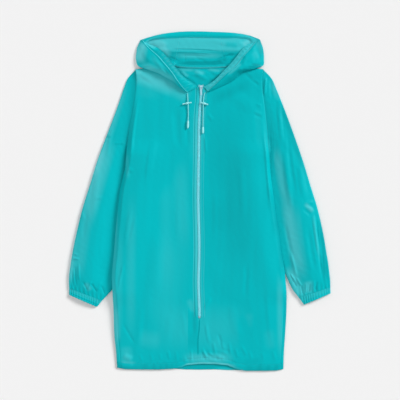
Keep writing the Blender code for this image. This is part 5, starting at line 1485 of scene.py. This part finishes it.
def plain(name, colour, roughness, bump=0.15, scale=900.0, specular=0.5, metallic=0.0):
    """A moulded or metal finish: its colour clouded a little, and a fine grain in its surface."""
    look, tree, shader = new_look(name)
    place = tree.nodes.new("ShaderNodeTexCoord")
    crinkle = placed(tree, "Fine crinkle", place.outputs["Object"], Scale=scale)
    wire(tree, (mixed(tree, crinkle["Clouds"], solid(colour, 0.85), solid(colour)), shader.inputs["Base Color"]),
         (maths(tree, "MULTIPLY_ADD", crinkle["Clouds"], 0.15, roughness - 0.07), shader.inputs["Roughness"]),
         (raised(tree, crinkle["Height"], bump, 0.0001), shader.inputs["Normal"]))
    settings(shader, Metallic=metallic, Specular_IOR_Level=specular)
    return look


def braid(name, colour, threads, roughness):
    """Woven tape or braided cord: a plain weave along the piece, with painted shade darkening its gaps between the
    threads.
    """
    look, tree, shader = new_look(name)
    turned = settings(tree.nodes.new("ShaderNodeMapping"), Rotation=(0.0, 0.0, math.radians(45.0)))
    tree.links.new(along_cloth(tree), turned.inputs["Vector"])
    weave = placed(tree, "Plain weave", turned.outputs[0], Threads_per_metre=threads)
    # Painted shade in the weave's gaps
    wire(tree, (mixed(tree, weave["Gaps"], solid(colour), solid(colour, 0.7)), shader.inputs["Base Color"]),
         (raised(tree, weave["Height"], 0.6, 0.0002), shader.inputs["Normal"]))
    shader.inputs["Roughness"].default_value = roughness
    return look


def look_for(name):
    """A finish by name, made once."""
    if name in bpy.data.materials:
        return bpy.data.materials[name]
    for title, build in (("Plain weave", weave_group), ("Fine crinkle", crinkle_group)):
        if title not in bpy.data.node_groups:
            build()
    scene = bpy.context.scene
    cloth, zipper, cord = scene.raincoat_cloth, scene.raincoat_zip, scene.raincoat_cord
    return {
        "coated_nylon": lambda: nylon(cloth),
        "woven_tape": lambda: braid(name, zipper.tape_colour, 1400.0, 0.75),
        "moulded_teeth": lambda: plain(name, zipper.teeth_colour, 0.6, specular=0.3),
        "painted_metal": lambda: plain(name, zipper.metal_colour, 0.45, bump=0.05, specular=0.4, metallic=0.2),
        "cord_braid": lambda: braid(name, cord.colour, 1300.0, 0.8),
        "frosted_plastic": lambda: plain(name, cord.plastic_colour, 0.4, bump=0.03, specular=0.3),
        "thread": lambda: plain(name, cloth.thread_colour, 0.6, bump=0.4, scale=2500.0),
    }[name]()


# ---------------------------------------------------------------- what a user may change

def tint(name, description, value):
    """A colour to choose."""
    return bpy.props.FloatVectorProperty(
        name=name, description=description, subtype="COLOR", default=value, min=0.0, max=1.0)


def amount(name, description, value, low, high, **kind):
    """A number to choose between two limits."""
    return bpy.props.FloatProperty(name=name, description=description, default=value, min=low, max=high, **kind)


LENGTH = {"subtype": "DISTANCE", "unit": "LENGTH"}


class RaincoatCloth(bpy.types.PropertyGroup):
    """The cloth: its colours, wall, weave and finish"""
    colour: tint("Colour", "Nylon in one layer", (0.0, 0.475, 0.52))
    # Through the tone, the double colour also paints shade and the lifted colour also paints light
    double_and_shade_colour: tint("Double colour", "Nylon where it lies double", (0.0, 0.325, 0.36))
    lifted_and_light_colour: tint("Lifted colour", "Nylon where one layer lifts off what is below", (0.09, 0.605, 0.66))
    thread_colour: tint("Thread colour", "Sewing thread", (0.01, 0.44, 0.48))
    thickness: amount("Thickness", "Wall of a cloth panel", 0.7 * MM, 0.3 * MM, 1.0 * MM, **LENGTH)
    thread: amount("Thread width", "Width of one thread of the weave", 0.5 * MM, 0.2 * MM, 3.0 * MM, **LENGTH)
    roughness: amount("Roughness", "How dull the coating is", 0.42, 0.05, 1.0)
    crinkle: amount("Crinkle", "Strength of the fine crinkles", 0.35, 0.0, 1.0)


class RaincoatZip(bpy.types.PropertyGroup):
    """The zip's colours"""
    tape_colour: tint("Tape colour", "Woven zip tape", (0.16, 0.70, 0.78))
    teeth_colour: tint("Teeth colour", "Moulded teeth", (0.29, 0.91, 1.0))
    metal_colour: tint("Slider colour", "Slider, tab and stop", (0.52, 0.80, 0.92))


class RaincoatCord(bpy.types.PropertyGroup):
    """The drawcord's colours"""
    colour: tint("Cord colour", "Braided drawcord", (0.20, 0.82, 0.87))
    plastic_colour: tint("Plastic colour", "Stoppers and tips", (0.34, 0.88, 0.92))


class RaincoatStage(bpy.types.PropertyGroup):
    """The floor, the lights and the camera"""
    floor_colour: tint("Floor colour", "Plain floor", (0.9, 0.9, 0.9))
    key: amount("Main light", "Strength of the soft light", 2.97, 0.0, 20.0)
    fill: amount("Fill light", "Strength of the fill", 1.35, 0.0, 20.0)
    air: amount("Air light", "Light from all round", 0.33, 0.0, 5.0)
    lens: amount("Lens", "Focal length in mm", 85.0, 10.0, 300.0)
    width: amount("View width", "Width that the camera sees", 1.2, 0.2, 10.0, **LENGTH)


# ---------------------------------------------------------------- one operator for each piece or group of pieces

class RAINCOAT_OT_back(bpy.types.Operator):
    """Builds the back panel"""
    bl_idname = "raincoat.back"
    bl_label = "Back panel"

    def execute(self, context):
        made = make_back(look_for("coated_nylon"))
        return {"FINISHED"}


class RAINCOAT_OT_fronts(bpy.types.Operator):
    """Builds the left and right fronts"""
    bl_idname = "raincoat.fronts"
    bl_label = "Fronts"

    def execute(self, context):
        for side, name in ((-1, "front_left"), (1, "front_right")):
            made = make_front(side, name, context.scene.raincoat_cloth, look_for("coated_nylon"))
        return {"FINISHED"}


class RAINCOAT_OT_sleeves(bpy.types.Operator):
    """Builds both sleeves"""
    bl_idname = "raincoat.sleeves"
    bl_label = "Sleeves"

    def execute(self, context):
        for side, name, rows, folds in (
            (-1, "sleeve_left", LEFT_SLEEVE, LEFT_CREASES), (1, "sleeve_right", RIGHT_SLEEVE, RIGHT_CREASES),
        ):
            made = make_sleeve(side, name, rows, folds, context.scene.raincoat_cloth, look_for("coated_nylon"))
        return {"FINISHED"}


class RAINCOAT_OT_cuffs(bpy.types.Operator):
    """Builds both elastic cuffs"""
    bl_idname = "raincoat.cuffs"
    bl_label = "Cuffs"

    def execute(self, context):
        for side, rows in (("left", LEFT_SLEEVE), ("right", RIGHT_SLEEVE)):
            made = make_cuff("cuff_" + side, rows[0], CUFF_END[side], look_for("coated_nylon"))
        return {"FINISHED"}


class RAINCOAT_OT_hood(bpy.types.Operator):
    """Builds the hood's two side panels and its middle panel"""
    bl_idname = "raincoat.hood"
    bl_label = "Hood panels"

    def execute(self, context):
        cloth, look = context.scene.raincoat_cloth, look_for("coated_nylon")
        for name, rows in (("hood_left", LEFT_HOOD), ("hood_right", RIGHT_HOOD)):
            made = make_hood_side(name, rows, cloth, look)
        made = make_hood_centre(cloth, look)
        return {"FINISHED"}


class RAINCOAT_OT_casing(bpy.types.Operator):
    """Builds the drawcord casing and the neck binding"""
    bl_idname = "raincoat.casing"
    bl_label = "Casing and binding"

    def execute(self, context):
        cloth, look = context.scene.raincoat_cloth, look_for("coated_nylon")
        made = make_casing(cloth, look)
        made = make_binding(look)
        return {"FINISHED"}


class RAINCOAT_OT_zip(bpy.types.Operator):
    """Builds the zip: tapes, teeth, bottom stop, slider and pull tab"""
    bl_idname = "raincoat.zip"
    bl_label = "Zip"

    def execute(self, context):
        for side, name in ((-1, "zip_tape_left"), (1, "zip_tape_right")):
            make_tape(side, name, look_for("woven_tape"))
        make_teeth(look_for("moulded_teeth"))
        for make in (make_bottom_stop, make_slider, make_tab):
            make(look_for("painted_metal"))
        return {"FINISHED"}


class RAINCOAT_OT_drawcord(bpy.types.Operator):
    """Builds the drawcord's two free ends with their stoppers and tips"""
    bl_idname = "raincoat.drawcord"
    bl_label = "Drawcord"

    def execute(self, context):
        for side, rows in (("left", LEFT_CORD), ("right", RIGHT_CORD)):
            made, path = make_cord("drawcord_" + side, rows, look_for("cord_braid"))
            stopper = make_stopper("cord_stopper_" + side, STOPPERS[side], rows, look_for("frosted_plastic"))
            tip = make_tip("cord_tip_" + side, rows, TIP_LENGTH[side], look_for("frosted_plastic"))
        return {"FINISHED"}


class RAINCOAT_OT_stitching(bpy.types.Operator):
    """Sews the lines of stitches that show"""
    bl_idname = "raincoat.stitching"
    bl_label = "Stitching"

    def execute(self, context):
        make_stitching(look_for("thread"))
        return {"FINISHED"}


def add_sun(name, strength, width_deg, azimuth_deg, height_deg):
    """A wide soft light from far away. Azimuth is turned from +X towards +Y."""
    light = bpy.data.lights.new(name, "SUN")
    light.energy = strength
    light.angle = math.radians(width_deg)
    made = bpy.data.objects.new(name, light)
    made.rotation_euler = (0.0, math.radians(90.0 - height_deg), math.radians(azimuth_deg))
    bpy.context.scene.collection.objects.link(made)


class RAINCOAT_OT_stage(bpy.types.Operator):
    """Adds the floor, the lights and the camera"""
    bl_idname = "raincoat.stage"
    bl_label = "Stage"

    def execute(self, context):
        scene, stage = context.scene, context.scene.raincoat_stage
        mesh = bpy.data.meshes.new("floor")
        corners = [(x * FLOOR_HALF, y * FLOOR_HALF, FLOOR_Z) for x, y in ((-1, -1), (1, -1), (1, 1), (-1, 1))]
        mesh.from_pydata(corners, [], [(0, 1, 2, 3)])
        floor = bpy.data.objects.new("floor", mesh)
        scene.collection.objects.link(floor)
        look, tree, shader = new_look("floor")
        settings(shader, Base_Color=solid(stage.floor_colour), Roughness=1.0, Specular_IOR_Level=0.0)
        mesh.materials.append(look)
        add_sun("main_light", stage.key, 18.0, 36.0, 25.0)
        add_sun("fill_light", stage.fill, 110.0, 205.0, 36.0)
        world = bpy.data.worlds.new("air")
        world.use_nodes = True
        tree = world.node_tree
        back = settings(tree.nodes["Background"], Strength=1.0)
        seen = tree.nodes.new("ShaderNodeLightPath").outputs["Is Camera Ray"]
        tree.links.new(mixed(tree, seen, solid([stage.air] * 3), solid([AIR_SEEN] * 3)), back.inputs["Color"])
        scene.world = world
        camera = bpy.data.cameras.new("camera")
        camera.lens, camera.sensor_width = stage.lens, SENSOR
        made = bpy.data.objects.new("camera", camera)
        made.location = (*VIEW_CENTRE, VIEW_HEIGHT + stage.width * stage.lens / SENSOR)
        scene.collection.objects.link(made)
        scene.camera = made
        scene.view_settings.view_transform = "Standard"
        return {"FINISHED"}


class RAINCOAT_PT_build(bpy.types.Panel):
    """Lists the raincoat's sizes and colours, and the steps that build it"""
    bl_idname = "RAINCOAT_PT_build"
    bl_label = "Raincoat"
    bl_space_type = "VIEW_3D"
    bl_region_type = "UI"
    bl_category = "Raincoat"

    def draw(self, context):
        for name in GROUPS:
            group, box = getattr(context.scene, name), self.layout.box()
            for key in group.bl_rna.properties.keys():
                if key not in ("rna_type", "name"):
                    box.prop(group, key)
        for step in STEPS:
            self.layout.operator(step.bl_idname)


GROUPS = {
    "raincoat_cloth": RaincoatCloth, "raincoat_zip": RaincoatZip, "raincoat_cord": RaincoatCord,
    "raincoat_stage": RaincoatStage,
}
STEPS = (
    RAINCOAT_OT_stage, RAINCOAT_OT_back, RAINCOAT_OT_fronts, RAINCOAT_OT_sleeves, RAINCOAT_OT_cuffs,
    RAINCOAT_OT_hood, RAINCOAT_OT_casing, RAINCOAT_OT_zip, RAINCOAT_OT_drawcord, RAINCOAT_OT_stitching,
)


def register():
    for item in (*GROUPS.values(), *STEPS, RAINCOAT_PT_build):
        bpy.utils.register_class(item)
    for name, group in GROUPS.items():
        setattr(bpy.types.Scene, name, bpy.props.PointerProperty(type=group))


def unregister():
    for name in GROUPS:
        delattr(bpy.types.Scene, name)
    for item in reversed((*GROUPS.values(), *STEPS, RAINCOAT_PT_build)):
        bpy.utils.unregister_class(item)


def main():
    """Registers the classes, and builds every piece and the stage."""
    register()
    for step in STEPS:
        group, name = step.bl_idname.split(".")
        getattr(getattr(bpy.ops, group), name)()


if __name__ == "__main__":
    main()
